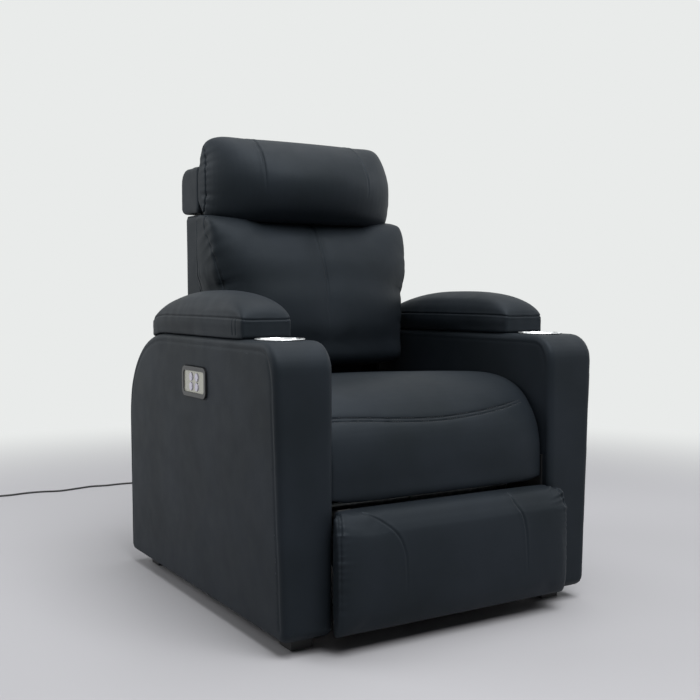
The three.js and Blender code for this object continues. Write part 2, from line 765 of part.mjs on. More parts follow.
// The cushion swells over the arms, and its top corners rise beside the headrest hinge
function backCushionSolid() {
  const shape = cushion({ halfWidth: backHalfWidth, stations: 14, squareness: 9, section: backSection });
  const places = shape.attributes.position;
  const { smoothstep } = THREE.MathUtils;
  const swellStart = armHeight + padCrown;
  const earStart = leafOuter + backEarSpace;
  for (let i = 0; i < places.count; i++) {
    const [x, z] = [places.getX(i), places.getZ(i)];
    const swollen = smoothstep(z, swellStart, swellStart + backSwellRise);
    const beside = smoothstep(Math.abs(x), earStart, earStart + backEarLength);
    const high = smoothstep(z, backCushionTop - backEarDepth, backCushionTop);
    places.setX(i, x * (1 + swollen * backSwell / backHalfWidth));
    places.setZ(i, z + backEarRise * beside * high);
  }
  return shape;
}

piece('back_cushion', backCushionSolid(), leather);

// The headrest: an upholstered board, the bolster in front of it, and a hinge on the back frame

function headBoardSolid() {
  const shape = new THREE.Shape();
  const [y0, y1, z0, z1] = [headBoardFront, headBoardRear, headBoardBottom, headBoardTop];
  const r = headBoardRadius;
  shape.moveTo(y0, z0);
  shape.lineTo(y1 - r / 2, z0);
  shape.absarc(y1 - r / 2, z0 + r / 2, r / 2, -Math.PI / 2, 0);
  shape.absarc(y1 - r, z1 - r, r, 0, Math.PI / 2);
  shape.lineTo(y0, z1);
  return plate(shape, -headHalfWidth, headHalfWidth, 6);
}

piece('headrest_board', headBoardSolid(), leather);

function bolsterSection(share, fullness) {
  const rear = headBoardFront - gap;
  const reach = rear - bolsterFront;
  const height = bolsterTop - bolsterBottom;
  const place = (back, up) => [bolsterFront + reach * back, bolsterBottom + height * up];
  const places = [
    place(1, 0.17), place(1, 0.35), place(1, 0.55), place(1, 0.7), place(1, 0.82), place(0.97, 0.92),
    place(0.89, 0.985), place(0.77, 1), place(0.6, 0.975), place(0.42, 0.91), place(0.24, 0.8),
    place(0.09, 0.65), place(0.01, 0.5), place(0, 0.36), place(0.05, 0.21), place(0.15, 0.08),
    place(0.3, 0.01), place(0.45, 0.01), place(0.56, 0.022), place(0.64, 0.045),
    place(0.8, 0.095), place(0.93, 0.13),
  ];
  const deep = 0.1 + 0.9 * (1 - share ** 2) ** 0.5;
  const tall = 0.25 + 0.75 * fullness;
  return towards(outline(places, 30), place(1, 0.5), deep, tall).map(([y, z]) => [Math.min(y, rear), z]);
}

piece('headrest_bolster', cushion({
  halfWidth: headHalfWidth, stations: 16, squareness: 5, section: bolsterSection,
}), leather);

// One leaf of the headrest hinge, from the pin up to the level where it is screwed on
function leafShape(rearEnd, level) {
  const half = leafThickness / 2;
  const bend = backFront - leafThickness;
  return polygon([
    [headHingeAlong, headHingeHeight - half], [bend + half, level - half], [rearEnd, level - half],
    [rearEnd, level + half], [bend, level + half], [headHingeAlong, headHingeHeight + half * 1.6],
  ]);
}

const fixedLeafLevel = backTop + gap + leafThickness / 2;
const fixedLeaf = joined(
  plate(leafShape(headRodAlong - headRodRadius - leafThickness, fixedLeafLevel), -leafInner, leafInner),
  rod(knuckleRadius, -leafInner, leafInner, headHingeAlong, headHingeHeight, smallRoundFacets));
const knuckleBore = rod(headHingeRadius + gap, -leafInner - overrun, leafInner + overrun,
  headHingeAlong, headHingeHeight, smallRoundFacets);
piece('headrest_hinge_fixed_leaf', cut(fixedLeaf, knuckleBore), steel);

const movingLeafLevel = headBoardBottom - gap - leafThickness / 2;
const wing = (side) => {
  const [a, b] = [side * (leafInner + leafThickness), side * leafOuter];
  return plate(leafShape(headBoardRear - headBoardRadius, movingLeafLevel), Math.min(a, b), Math.max(a, b));
};
const hingePin = rod(headHingeRadius, -leafOuter, leafOuter,
  headHingeAlong, headHingeHeight, smallRoundFacets);
piece('headrest_hinge_moving_leaf', joined(hingePin, wing(-1), wing(1)), steel);

// The headrest actuator inside the back frame, and its rod through the top rail

const headMotor = box(-headMotorHalfWidth, headMotorHalfWidth, headRodAlong - headMotorDepth / 2,
  headRodAlong + headMotorDepth / 2, headMotorBottom, headMotorBottom + headMotorLength);
const headStrap = box(-backInside, backInside, headRodAlong + headMotorDepth / 2 - sheetSteel,
  headRodAlong + headMotorDepth / 2, headMotorBottom + 2 * motorRadius, headMotorBottom + 3 * motorRadius);
const headMotorTop = headMotorBottom + headMotorLength;
const headRodBottom = headMotorTop - headRodTravel;
const headMotorBore = uprightRod(headRodRadius + runningGap, headRodBottom - gap, headMotorTop + overrun);
piece('headrest_actuator', cut(joined(headMotor, headStrap), headMotorBore), blackPlastic);
piece('headrest_actuator_rod', uprightRod(headRodRadius, headRodBottom, headBoardBottom - gap), steel);

// The leg rest: a torque tube with a crank, a drive link and an extension link each side, and the board

const legPivot = [legPivotAlong, legPivotHeight];
const boardPivot = [boardPivotAlong, boardPivotHeight];

// The knee lies where the two links meet, on the side towards the back
function kneePlace() {
  const [dy, dz] = [boardPivotAlong - legPivotAlong, boardPivotHeight - legPivotHeight];
  const span = Math.hypot(dy, dz);
  const along = (driveLinkLength ** 2 - extensionLinkLength ** 2 + span ** 2) / (2 * span);
  const away = Math.sqrt(driveLinkLength ** 2 - along ** 2);
  return [
    legPivotAlong + (along * dy - away * dz) / span, legPivotHeight + (along * dz + away * dy) / span,
  ];
}

const knee = kneePlace();
const driveOuter = plateInner - linkSpace - gap;
const driveInner = driveOuter - linkThickness;
const extensionOuter = driveInner - linkSpace;
const extensionInner = extensionOuter - linkThickness;
const bracketFace = extensionInner - linkSpace;

const crankAngle = crankStart * Math.PI / 180;
const crankPin = [
  legPivotAlong - crankLength * Math.cos(crankAngle), legPivotHeight + crankLength * Math.sin(crankAngle),
];
const crank = plate(linkShape(legPivot, crankPin, driveLinkRoot, linkHalfWidth),
  -crankHalfThickness, crankHalfThickness);
piece('leg_torque_tube', joined(
  rod(torqueTubeRadius, -plateOuter + gap, plateOuter - gap, ...legPivot), crank), steel);

function driveLinkSolid() {
  const shape = linkShape(legPivot, knee, driveLinkRoot, linkHalfWidth);
  shape.holes = [hole(...legPivot, torqueTubeRadius + gap), hole(...knee, linkPinRadius + gap)];
  return plate(shape, driveInner, driveOuter);
}

function extensionLinkSolid() {
  const shape = linkShape(knee, boardPivot, linkHalfWidth, linkHalfWidth);
  shape.holes = [knee, boardPivot].map((pivot) => hole(...pivot, linkPinRadius + runningGap));
  return plate(shape, extensionInner, extensionOuter);
}

const boardRear = footrestFront + footrestDepth + gap + plywood;
function footrestBracketSolid() {
  const reach = linkHalfWidth * 1.2;
  const [y, z] = boardPivot;
  const arc = [];
  for (let i = 0; i <= 8; i++) {
    const angle = Math.PI * (i / 8 - 0.5);
    arc.push([y + reach * Math.cos(angle), z + reach * Math.sin(angle)]);
  }
  const shape = polygon([[boardRear + gap, z - 3 * reach], ...arc, [boardRear + gap, z + 3 * reach]]);
  const flange = box(bracketFace - 6 * linkThickness, bracketFace,
    boardRear + gap, boardRear + gap + linkThickness, z - 3 * reach, z + 3 * reach);
  const pin = rod(linkPinRadius, bracketFace - linkThickness / 2, extensionOuter + gap, y, z);
  return joined(plate(shape, bracketFace - linkThickness, bracketFace), flange, pin);
}

const kneePin = rod(linkPinRadius, extensionInner - linkSpace / 2, driveOuter + gap, ...knee);
for (const [name, side] of sides) {
  piece(`leg_drive_link_${name}`, onSide(driveLinkSolid(), side), steel);
  piece(`leg_extension_link_${name}`, onSide(extensionLinkSolid(), side), steel);
  piece(`leg_knee_pin_${name}`, onSide(kneePin, side), steel);
  piece(`footrest_bracket_${name}`, onSide(footrestBracketSolid(), side), steel);
}

piece('footrest_board', box(-boardHalfWidth, boardHalfWidth, boardRear - plywood, boardRear,
  footrestBottom + boardMargin, footrestTop - boardMargin), wood);

function footrestSection(share, fullness) {
  const rear = footrestFront + footrestDepth;
  const height = footrestTop - footrestBottom;
  const place = (back, up) => [footrestFront + footrestDepth * back, footrestBottom + height * up];
  const places = [
    place(1, 0.04), place(1, 0.3), place(1, 0.6), place(1, 0.95), place(0.91, 0.99), place(0.62, 1),
    place(0.32, 0.965), place(0.12, 0.86), place(0.015, 0.68), place(0, 0.5), place(0, 0.3),
    place(0.06, 0.12), place(0.235, 0.02), place(0.5, 0), place(0.88, 0.012),
  ];
  return towards(outline(places, 28), place(1, 0.5), 0.55 + 0.45 * fullness, 0.9 + 0.1 * fullness)
    .map(([y, z]) => [Math.min(y, rear), z]);
}

// The footrest cushion is wider in front of the arms than between them
function footrestSolid() {
  const body = cushion({
    halfWidth: footrestHalfWidth, stations: 14, squareness: 9, section: footrestSection,
  });
  const places = body.attributes.position;
  for (let i = 0; i < places.count; i++) {
    const depth = THREE.MathUtils.smoothstep(places.getY(i), footrestFront + footrestWing, -footrestWingGap);
    const half = footrestHalfWidth + (footrestRearHalfWidth - footrestHalfWidth) * depth;
    places.setX(i, places.getX(i) * half / footrestHalfWidth);
  }
  return body;
}

piece('footrest_cushion', footrestSolid(), leather);

// The base: two wooden rails between the arms

const baseRailEnd = innerFace - gap;
piece('base_rail_front', box(-baseRailEnd, baseRailEnd, frontRailAlong, frontRailAlong + frontRailDepth,
  crossRailBottom, crossRailBottom + frontRailHeight), wood);
const leadHole = new THREE.CylinderGeometry(
  reliefRadius + gap, reliefRadius + gap, rearRailDepth + 2 * overrun, 20)
  .translate(leadAcross, rearRailAlong + rearRailDepth / 2, leadHeight);
piece('base_rail_rear', cut(box(-baseRailEnd, baseRailEnd, rearRailAlong, rearRailAlong + rearRailDepth,
  crossRailBottom, crossRailBottom + rearRailHeight), leadHole), wood);

// The main actuator: a rail hung from the rear seat rail, its motor, and the slider that turns the crank

const lugTop = railTop - seatRailHeight - gap;
const actuatorRail = joined(
  box(-railHalfWidth, railHalfWidth, railFront, seatRear, railBottom, railBottom + railHeight),
  box(-railHalfWidth, railHalfWidth, seatRear - lugLength, seatRear, railBottom, lugTop));
piece('actuator_rail', actuatorRail, blackSteel);
const motorRear = seatRear - lugLength / 2;
const gearBox = box(-motorHalfWidth, motorHalfWidth, motorRear - motorLength, motorRear,
  railBottom - gap - motorHeight, railBottom - gap);
piece('actuator_motor', joined(gearBox, rod(motorRadius, -motorHalfWidth + overrun, motorSpan,
  motorRear - motorLength / 2, railBottom - gap - motorHeight / 2)), blackPlastic);

function sliderSolid() {
  const [from, to] = [crankPin[0] - sliderLength / 2, crankPin[0] + sliderLength / 2];
  const outer = railHalfWidth + gap + sliderWall;
  const block = box(-outer, outer, from, to,
    railBottom - gap - sliderWall, railBottom + railHeight + gap + sliderWall);
  const channel = box(-railHalfWidth - gap, railHalfWidth + gap, from - overrun, to + overrun,
    railBottom - gap, railBottom + railHeight + gap);
  const cheek = (side) => {
    const [a, b] = [crankHalfThickness + linkSpace, crankHalfThickness + linkSpace + sliderWall];
    const top = railBottom + railHeight + sliderWall;
    return box(side < 0 ? -b : a, side < 0 ? -a : b, from + sliderWall, to - sliderWall,
      top, top + cheekHeight);
  };
  return joined(cut(block, channel), cheek(-1), cheek(1));
}

piece('actuator_slider', sliderSolid(), blackPlastic);

// The power supply on the rear base rail, the strain relief through the rail, and the lead

const supplyShape = roundedRect(supplyLength, supplyHeight, supplyEdge);
const supply = slab(supplyShape, 0, supplyDepth, 3).rotateX(Math.PI / 2)
  .translate(leadAcross, rearRailAlong - gap, leadHeight);
piece('power_supply', supply, blackPlastic);

const reliefStart = rearRailAlong + gap;
const reliefFace = rearRailAlong + rearRailDepth;
const reliefEnd = reliefFace + reliefLength;
const reliefProfile = [
  [0, reliefStart], [reliefRadius, reliefStart], [reliefRadius, reliefFace + gap],
  [reliefFlangeRadius, reliefFace + gap], [reliefFlangeRadius, reliefFace + gap + reliefFlange],
  [reliefRadius, reliefFace + gap + reliefFlange], [leadDiameter * 0.62, reliefEnd], [0, reliefEnd],
].map(([r, y]) => new THREE.Vector2(r, y));
const relief = new THREE.LatheGeometry(reliefProfile, 20).translate(leadAcross, 0, leadHeight);
piece('cord_strain_relief', relief, flex);

function tube(curve, steps, sidesRound) {
  const round = new THREE.Shape();
  round.absarc(0, 0, leadDiameter / 2, 0, 2 * Math.PI);
  return new THREE.ExtrudeGeometry(round, {
    extrudePath: curve, steps, curveSegments: sidesRound / 2, bevelEnabled: false,
  });
}

const leadStart = reliefEnd + gap;
const route = [leadStart, leadStart + leadStraight].map((y) => point(leadAcross, y, leadHeight));
route.push(...leadRoute.map((place) => point(...place)));
const leadCurve = new THREE.CatmullRomCurve3(route, false, 'centripetal');
leadPieces.push(piece('power_cord', tube(leadCurve, leadSteps, leadSides), flex));

// The coil: turns that spiral in on the floor, climb a layer and spiral out again.
// It starts with a straight diameter in line with the lead and ends with one towards the plug.
const coilStart = route[route.length - 1].clone().add(point(-gap, 0, 0));
const coilCentre = coilStart.clone().add(point(-leadDiameter, -coilRadius, 0));
const turnsInLayer = coilLoops / coilLayers;

function coilPlace(turn) {
  const inward = Math.min(turn, coilLoops - turn);
  const radius = coilRadius - coilPitch * inward;
  const climb = Math.max(0, Math.min(1, (turn - turnsInLayer + 0.25) / 0.5));
  const lift = coilPitch * (climb * climb * (3 - 2 * climb));
  const angle = Math.PI / 2 + turn * 2 * Math.PI;
  return coilCentre.clone().add(point(radius * Math.cos(angle), radius * Math.sin(angle), lift));
}

const coilPoints = [coilStart.clone(), coilStart.clone().add(point(-leadDiameter / 2, 0, 0))];
for (let i = 0; i <= coilLoops * coilSteps; i++) coilPoints.push(coilPlace(i / coilSteps));
const coilExit = coilPoints[coilPoints.length - 1].clone();
for (const share of [0.1, 0.4, 0.7, 1]) {
  coilPoints.push(coilExit.clone().add(point(-coilTail * share, 0, 0)));
}
const coilCurve = new THREE.CatmullRomCurve3(coilPoints, false, 'centripetal');
leadPieces.push(piece('cord_coil', tube(coilCurve, coilPoints.length - 1, coilSides), flex));

function leastGap(points, apart) {
  let least = Infinity;
  for (let i = 0; i < points.length; i++) {
    for (let j = i + apart; j < points.length; j++) {
      least = Math.min(least, points[i].distanceTo(points[j]));
    }
  }
  return least - leadDiameter;
}

const measured = coilCurve.getPoints(coilPoints.length * 4);
console.log('least gap of the coil to itself, mm:', leastGap(measured, coilSteps * 2).toFixed(2));
console.log('lead length, m:', ((leadCurve.getLength() + coilCurve.getLength()) / 1000).toFixed(3));

function plugSolid() {
  const body = slab(roundedRect(plugWidth, plugThickness, plugEdge), 0, plugLength, 3);
  const bladeX = pinPitch / 2;
  const blade = (x) => new THREE.BoxGeometry(pinThickness, pinWidth, pinLength + overrun)
    .translate(x, 0, plugLength + (pinLength - overrun) / 2);
  return joined(body, blade(-bladeX), blade(bladeX));
}

const plugStart = coilExit.clone().add(point(-coilTail - gap, 0, 0));
const plug = piece('power_plug', plugSolid().rotateX(-Math.PI / 2).rotateZ(Math.PI / 2)
  .translate(plugStart.x, plugStart.y, plugThickness / 2), blackPlastic);
leadPieces.push(plug);

// The origin goes to the bottom centre of the seat without its lead
leadPieces.forEach((mesh) => chair.remove(mesh));
const bounds = new THREE.Box3().setFromObject(chair);
leadPieces.forEach((mesh) => chair.add(mesh));
const centre = bounds.getCenter(point(0, 0, 0));
chair.position.set(-centre.x, -centre.y, -bounds.min.z);
console.log('moved by, mm:', chair.position.toArray().map((v) => v.toFixed(2)).join(' '));
console.log('seat box, mm:', bounds.getSize(point(0, 0, 0)).toArray().map((v) => v.toFixed(1)).join(' '));

export default row;
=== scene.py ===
# Cinema recliner seat: upholstery, finishes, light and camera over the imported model, in metres.
import math
import bmesh
import bpy
import numpy as np
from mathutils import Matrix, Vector, noise
from mathutils.bvhtree import BVHTree
from mathutils.kdtree import KDTree


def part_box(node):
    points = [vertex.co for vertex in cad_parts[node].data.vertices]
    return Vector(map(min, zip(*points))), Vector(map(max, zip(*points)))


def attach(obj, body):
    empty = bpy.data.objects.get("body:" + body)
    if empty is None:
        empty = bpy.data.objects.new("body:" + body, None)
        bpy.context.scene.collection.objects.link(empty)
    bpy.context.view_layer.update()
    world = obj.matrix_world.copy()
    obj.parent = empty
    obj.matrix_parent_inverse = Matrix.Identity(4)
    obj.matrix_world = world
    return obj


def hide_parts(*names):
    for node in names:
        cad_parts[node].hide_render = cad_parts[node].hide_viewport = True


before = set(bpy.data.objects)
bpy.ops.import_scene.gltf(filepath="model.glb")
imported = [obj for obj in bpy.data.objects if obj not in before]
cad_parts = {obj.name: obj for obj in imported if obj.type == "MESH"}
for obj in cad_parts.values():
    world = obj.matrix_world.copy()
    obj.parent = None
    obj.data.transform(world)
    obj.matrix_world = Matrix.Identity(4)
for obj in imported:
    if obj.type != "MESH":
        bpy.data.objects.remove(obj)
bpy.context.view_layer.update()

scene = bpy.context.scene
scene.view_settings.view_transform = "Standard"
MM = 0.001


def box(node):
    low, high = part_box(node)
    return np.array(low), np.array(high)


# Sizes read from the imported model
ARM_LOW, ARM_HIGH = box("arm_right")
FRONT = ARM_LOW[1]              # front plane of the arms
INNER = ARM_LOW[0]              # half the width between the arms
ARM_TOP = ARM_HIGH[2]
ARM_BOTTOM = ARM_LOW[2]
PAD_LOW, PAD_HIGH = box("armrest_pad_right")
SEAT_LOW, SEAT_HIGH = box("seat_cushion")
SEAT_DECK = box("seat_rail_front")[1][2]
BACK_LOW, BACK_HIGH = box("back_cushion")
STILE_LOW, STILE_HIGH = box("back_stile_right")
LEAF_END = box("headrest_hinge_moving_leaf")[1][0]
BOLSTER_LOW, BOLSTER_HIGH = box("headrest_bolster")
BOARD_LOW, BOARD_HIGH = box("headrest_board")
FOOT_LOW, FOOT_HIGH = box("footrest_cushion")
CUP_LOW, CUP_HIGH = box("cup_holder_right")
BEZEL_LOW, BEZEL_HIGH = box("switch_bezel")
RELIEF_END = box("cord_strain_relief")[1][1]

# Camera: stands in front of the seat and to its left, about 0.7 m up
camera = bpy.data.objects.new("camera", bpy.data.cameras.new("camera"))
scene.collection.objects.link(camera)
camera.location = (-1.225, -2.015315, 0.683)
camera.rotation_euler = (math.radians(90 - 3.04), 0, math.radians(-31.42))
camera.data.sensor_width = 36
camera.data.lens = 50.79
camera.data.dof.use_dof = False
scene.camera = camera

# Materials


def linear(hex_colour):
    """An sRGB hex colour as linear RGBA."""
    parts = [int(hex_colour[i:i + 2], 16) / 255 for i in (1, 3, 5)]
    return [p / 12.92 if p <= 0.04045 else ((p + 0.055) / 1.055) ** 2.4 for p in parts] + [1.0]


def add(tree, kind, links=None, **settings):
    """Adds a node: settings named after its sockets go there, others are its properties. A link comes
    from a socket, or from another node's first output."""
    node = tree.nodes.new("ShaderNode" + kind)
    for name, value in settings.items():
        socket = next((s for s in node.inputs if s.name.replace(" ", "_") == name), None)
        if socket is None:
            setattr(node, name, value)
        else:
            socket.default_value = value
    for name, source in (links or {}).items():
        tree.links.new(getattr(source, "outputs", [source])[0], node.inputs[name])
    return node


class Finish:
    """A new material with its shader, and patterns over the object's own coordinates in metres."""

    def __init__(self, name, colour, roughness, metallic=0.0, **shader):
        self.material = bpy.data.materials.new(name)
        self.material.use_nodes = True
        self.tree = self.material.node_tree
        self.tree.nodes.clear()
        self.skin = add(self.tree, "BsdfPrincipled", Base_Color=linear(colour),
                        Roughness=roughness, Metallic=metallic, **shader)
        self.output = add(self.tree, "OutputMaterial", links={"Surface": self.skin})
        self.place = add(self.tree, "TexCoord").outputs["Object"]

    def texture(self, kind, size, place=None, **settings):
        return add(self.tree, "Tex" + kind, links={"Vector": place or self.place},
                   Scale=1 / size, **settings).outputs

    def mottle(self, size, detail, place=None, **settings):
        """Soft blotches of the given size."""
        return self.texture("Noise", size, place, Detail=detail, **settings)["Fac"]

    def drawn_out(self, *scale):
        """The coordinates scaled along each axis, for a pattern that runs one way."""
        return add(self.tree, "Mapping", links={"Vector": self.place}, Scale=scale)

    def shades(self, pattern, dark, light, low=0.3, high=0.7):
        """The base colour runs from dark to light with the pattern."""
        ramp = add(self.tree, "ValToRGB", links={"Fac": pattern})
        for stop, position, colour in zip(ramp.color_ramp.elements, (low, high), (dark, light)):
            stop.position, stop.color = position, linear(colour)
        self.tree.links.new(ramp.outputs["Color"], self.skin.inputs["Base Color"])

    def uneven(self, pattern, smooth, rough):
        """The roughness runs from smooth to rough with the pattern."""
        span = add(self.tree, "MapRange", links={"Value": pattern}, To_Min=smooth, To_Max=rough)
        self.tree.links.new(span.outputs["Result"], self.skin.inputs["Roughness"])

    def relief(self, *layers):
        """Bumps laid over each other, each a pattern, its height in metres and its strength."""
        links = {}
        for pattern, height, strength in layers:
            links["Height"] = pattern
            bump = add(self.tree, "Bump", links=links, Distance=height, Strength=strength)
            links["Normal"] = bump
        self.tree.links.new(bump.outputs[0], self.skin.inputs["Normal"])


def coated_leather(name, dark, light, pebble=2.4 * MM):
    """Black PU-coated split leather, embossed with a pebble grain and left satin. The eye gets a soft
    blue-grey shine along the crowns and near black where it turns down. The real grain is about
    0.8 mm across; it is drawn at 2.4 mm so that it shows."""
    leather = Finish(name, dark, 0.46, IOR=1.5, Specular_IOR_Level=0.22,
                     Specular_Tint=linear("#d7e4f0"))
    leather.shades(leather.mottle(190 * MM, 3), dark, light)
    leather.uneven(leather.mottle(45 * MM, 4), 0.5, 0.65)
    grain = leather.texture("Voronoi", pebble, feature="SMOOTH_F1", Smoothness=0.6)["Distance"]
    creases, drape = leather.mottle(9 * MM, 5), leather.mottle(70 * MM, 1)
    leather.relief((grain, 0.15 * MM, 0.35), (creases, 0.4 * MM, 0.3), (drape, 4 * MM, 0.22))
    return leather.material


def polished_stainless(name):
    """Deep-drawn 304 stainless with a satin polish: it shines softly and shows faint turning rings
    round the bowl."""
    steel = Finish(name, "#e6e8ea", 0.3, metallic=1.0)
    rings = steel.mottle(25 * MM, 4)
    steel.uneven(rings, 0.26, 0.4)
    steel.relief((rings, 0.05 * MM, 0.15))
    return steel.material


def zinc_plated_steel(name):
    """Pressed mild steel, bright zinc plated: grey with a cloudy spangle and fine rolling lines."""
    steel = Finish(name, "#8b8f92", 0.38, metallic=1.0)
    spangle = steel.mottle(14 * MM, 5)
    steel.shades(spangle, "#74787c", "#9fa3a6")
    steel.uneven(spangle, 0.3, 0.5)
    rolled = steel.mottle(1, 2, steel.drawn_out(900, 40, 900))
    steel.relief((rolled, 0.05 * MM, 0.2))
    return steel.material


def powder_coat(name, colour, shine):
    """Steel under a sprayed and baked polyester powder: a dull skin with a slight orange peel."""
    coat = Finish(name, colour, shine, IOR=1.5)
    peel, dust = coat.mottle(2.2 * MM, 2), coat.mottle(60 * MM, 4)
    coat.uneven(dust, shine - 0.08, shine + 0.12)
    coat.relief((peel, 0.2 * MM, 0.3))
    return coat.material


def moulded_plastic(name, dark, light, shine, texture=1.3 * MM):
    """Injection-moulded ABS from a spark-eroded mould: an even fine texture that scatters the light.
    The real texture is about 0.1 mm; it is drawn coarser so that it shows close up. With a rough
    shine it also stands for the black spunbond felt that closes the seat's underside; there its near
    black is also painted shade, standing for the shade in the gaps under the cushions."""
    moulded = Finish(name, dark, shine, IOR=1.53)
    cloud, spark = moulded.mottle(30 * MM, 3), moulded.mottle(texture, 3)
    moulded.shades(cloud, dark, light)
    moulded.uneven(cloud, shine - 0.06, shine + 0.08)
    moulded.relief((spark, 0.08 * MM, 0.3))
    return moulded.material


def painted_silver(name, dark, light, metallic, shine):
    """Moulded ABS under a metallic lacquer: tiny flakes give a soft sparkle under a smooth skin."""
    lacquer = Finish(name, dark, shine, metallic=metallic, Coat_Weight=0.35, Coat_Roughness=0.12)
    flake = lacquer.texture("Voronoi", 0.6 * MM)["Distance"]
    lacquer.shades(flake, dark, light, 0.1, 0.8)
    lacquer.relief((flake, 0.02 * MM, 0.15))
    return lacquer.material


def birch_plywood(name):
    """Rotary-cut birch plywood, sanded: long pale figure along X and thin plies on the edges."""
    wood = Finish(name, "#b08a5c", 0.68, IOR=1.45)
    figure = wood.mottle(1, 6, wood.drawn_out(3, 55, 30), Distortion=1.2)
    wood.shades(figure, "#94693f", "#c9a877")
    pores = wood.mottle(1, 2, wood.drawn_out(120, 1400, 1400))
    wood.relief((pores, 0.1 * MM, 0.35))
    return wood.material


def pvc_sheath(name):
    """Extruded PVC flex sheath: black, slightly glossy, with faint drag lines from the die."""
    sheath = Finish(name, "#131415", 0.42, IOR=1.53)
    drag = sheath.mottle(3 * MM, 3)
    sheath.shades(drag, "#0f1011", "#1a1b1d")
    sheath.uneven(drag, 0.36, 0.52)
    sheath.relief((drag, 0.06 * MM, 0.25))
    return sheath.material


def bonded_thread(name):
    """Black bonded nylon upholstery thread: three plies twisted, so each stitch has slanting ridges."""
    thread = Finish(name, "#17181a", 0.5, IOR=1.53, Sheen_Weight=0.3)
    twist = thread.texture("Wave", 6 * MM, Distortion=1.0)["Fac"]
    thread.shades(twist, "#101112", "#26282b")
    thread.relief((twist, 0.1 * MM, 0.4))
    return thread.material


LEATHER = coated_leather("coated_leather", "#14191d", "#1f242a")
# Near-black felt: a real dust cover, and also painted shade in the gaps under and behind the cushions.
FELT_AND_SHADE = moulded_plastic("black_spunbond_felt", "#131416", "#1c1d1f", 0.9, texture=2.0 * MM)
STAINLESS = polished_stainless("polished_stainless")
ZINC = zinc_plated_steel("zinc_plated_steel")
BLACK_STEEL = powder_coat("black_powder_coat", "#17181a", 0.45)
PLYWOOD = birch_plywood("birch_plywood")
BLACK_ABS = moulded_plastic("black_moulded_abs", "#121315", "#1a1b1d", 0.45)
GREY_ABS = moulded_plastic("dark_grey_moulded_abs", "#1d1e20", "#26272a", 0.36)
CHAMPAGNE = painted_silver("champagne_lacquer", "#a7a79b", "#c4c3b7", 0.35, 0.34)
LILAC = painted_silver("lilac_silver_lacquer", "#b9b5cb", "#dcd8ea", 0.3, 0.24)
SHEATH = pvc_sheath("black_pvc_sheath")
THREAD = bonded_thread("black_bonded_thread")

BUTTONS = ["button_recline", "button_upright", "button_head_forward", "button_head_back"]


def sides(*names):
    return [f"{name}_{side}" for name in names for side in ("left", "right")]


NODE_FINISHES = {
    STAINLESS: sides("cup_holder"),
    GREY_ABS: ["switch_bezel"],
    CHAMPAGNE: ["switch_plate"],
    LILAC: BUTTONS,
    BLACK_ABS: [*sides("foot_front", "foot_rear"), "headrest_actuator", "actuator_motor",
                "actuator_slider", "power_supply", "power_plug"],
    BLACK_STEEL: [*[f"seat_spring_{n}" for n in range(1, 5)], "actuator_rail",
                  "headrest_hinge_fixed_leaf", "headrest_hinge_moving_leaf", *sides("side_plate")],
    # Near black on these rails and the board is partly the real felt and partly painted shade for the
    # gaps under the cushions.
    FELT_AND_SHADE: ["back_rail_top", "base_rail_front", "base_rail_rear", "seat_rail_front", "footrest_board"],
    PLYWOOD: ["seat_rail_rear", "back_rail_bottom"],
    SHEATH: ["cord_strain_relief"],
    ZINC: ["headrest_actuator_rod", "leg_torque_tube",
           *sides("back_bracket", "leg_drive_link", "leg_knee_pin", "leg_extension_link",
                  "footrest_bracket")],
}
SOFTENED_EDGES = {"switch_bezel": 2.5, "switch_plate": 0.8, **dict.fromkeys(BUTTONS, 1.6),
                  "power_supply": 2.0, "actuator_motor": 1.5, "headrest_actuator": 2.0,
                  "power_plug": 1.0}    # mm
for material, names in NODE_FINISHES.items():
    for name in names:
        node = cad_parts[name]
        node.data.materials.clear()
        node.data.materials.append(material)
        if name in SOFTENED_EDGES:
            edge = node.modifiers.new("softened edge", "BEVEL")
            edge.width, edge.segments, edge.angle_limit = SOFTENED_EDGES[name] * MM, 3, math.radians(35)
            edge.harden_normals = False

# Meshes


def piece(name, points, faces, material, smooth=True):
    mesh = bpy.data.meshes.new(name)
    mesh.from_pydata([tuple(p) for p in points], [], faces)
    mesh.validate()
    mesh.update()
    mesh.materials.append(material)
    mesh.shade_smooth() if smooth else mesh.shade_flat()
    obj = bpy.data.objects.new(name, mesh)
    scene.collection.objects.link(obj)
    return obj


def points_of(obj, what="co"):
    found = np.empty(len(obj.data.vertices) * 3)
    obj.data.vertices.foreach_get(what, found)
    return found.reshape(-1, 3)


def put_points(obj, points):
    obj.data.vertices.foreach_set("co", np.ascontiguousarray(points, dtype=float).ravel())
    obj.data.update()


def normals_of(obj):
    return points_of(obj, "normal")


def evaluated(obj):
    return obj.evaluated_get(bpy.context.evaluated_depsgraph_get())


def surface(obj):
    return BVHTree.FromObject(obj, bpy.context.evaluated_depsgraph_get())


def strips(count, rows, closed=True):
    """The quads between rows of equally many points."""
    faces = []
    for a in range(0, (rows - 1) * count, count):
        b = a + count
        for i in range(count if closed else count - 1):
            j = (i + 1) % count
            faces.append([a + i, a + j, b + j, b + i])
    return faces


def centripetal(p0, p1, p2, p3, steps):
    """Points of the centripetal Catmull-Rom curve from p1 up to p2, without p2."""
    t1 = np.linalg.norm(p1 - p0) ** 0.5
    t2 = t1 + np.linalg.norm(p2 - p1) ** 0.5
    t3 = t2 + np.linalg.norm(p3 - p2) ** 0.5
    t = (t1 + (t2 - t1) * np.arange(steps) / steps)[:, None]
    a1 = (t1 - t) / t1 * p0 + t / t1 * p1
    a2 = (t2 - t) / (t2 - t1) * p1 + (t - t1) / (t2 - t1) * p2
    a3 = (t3 - t) / (t3 - t2) * p2 + (t - t2) / (t3 - t2) * p3
    b1 = (t2 - t) / t2 * a1 + t / t2 * a2
    b2 = (t3 - t) / (t3 - t1) * a2 + (t - t1) / (t3 - t1) * a3
    return (t2 - t) / (t2 - t1) * b1 + (t - t1) / (t2 - t1) * b2


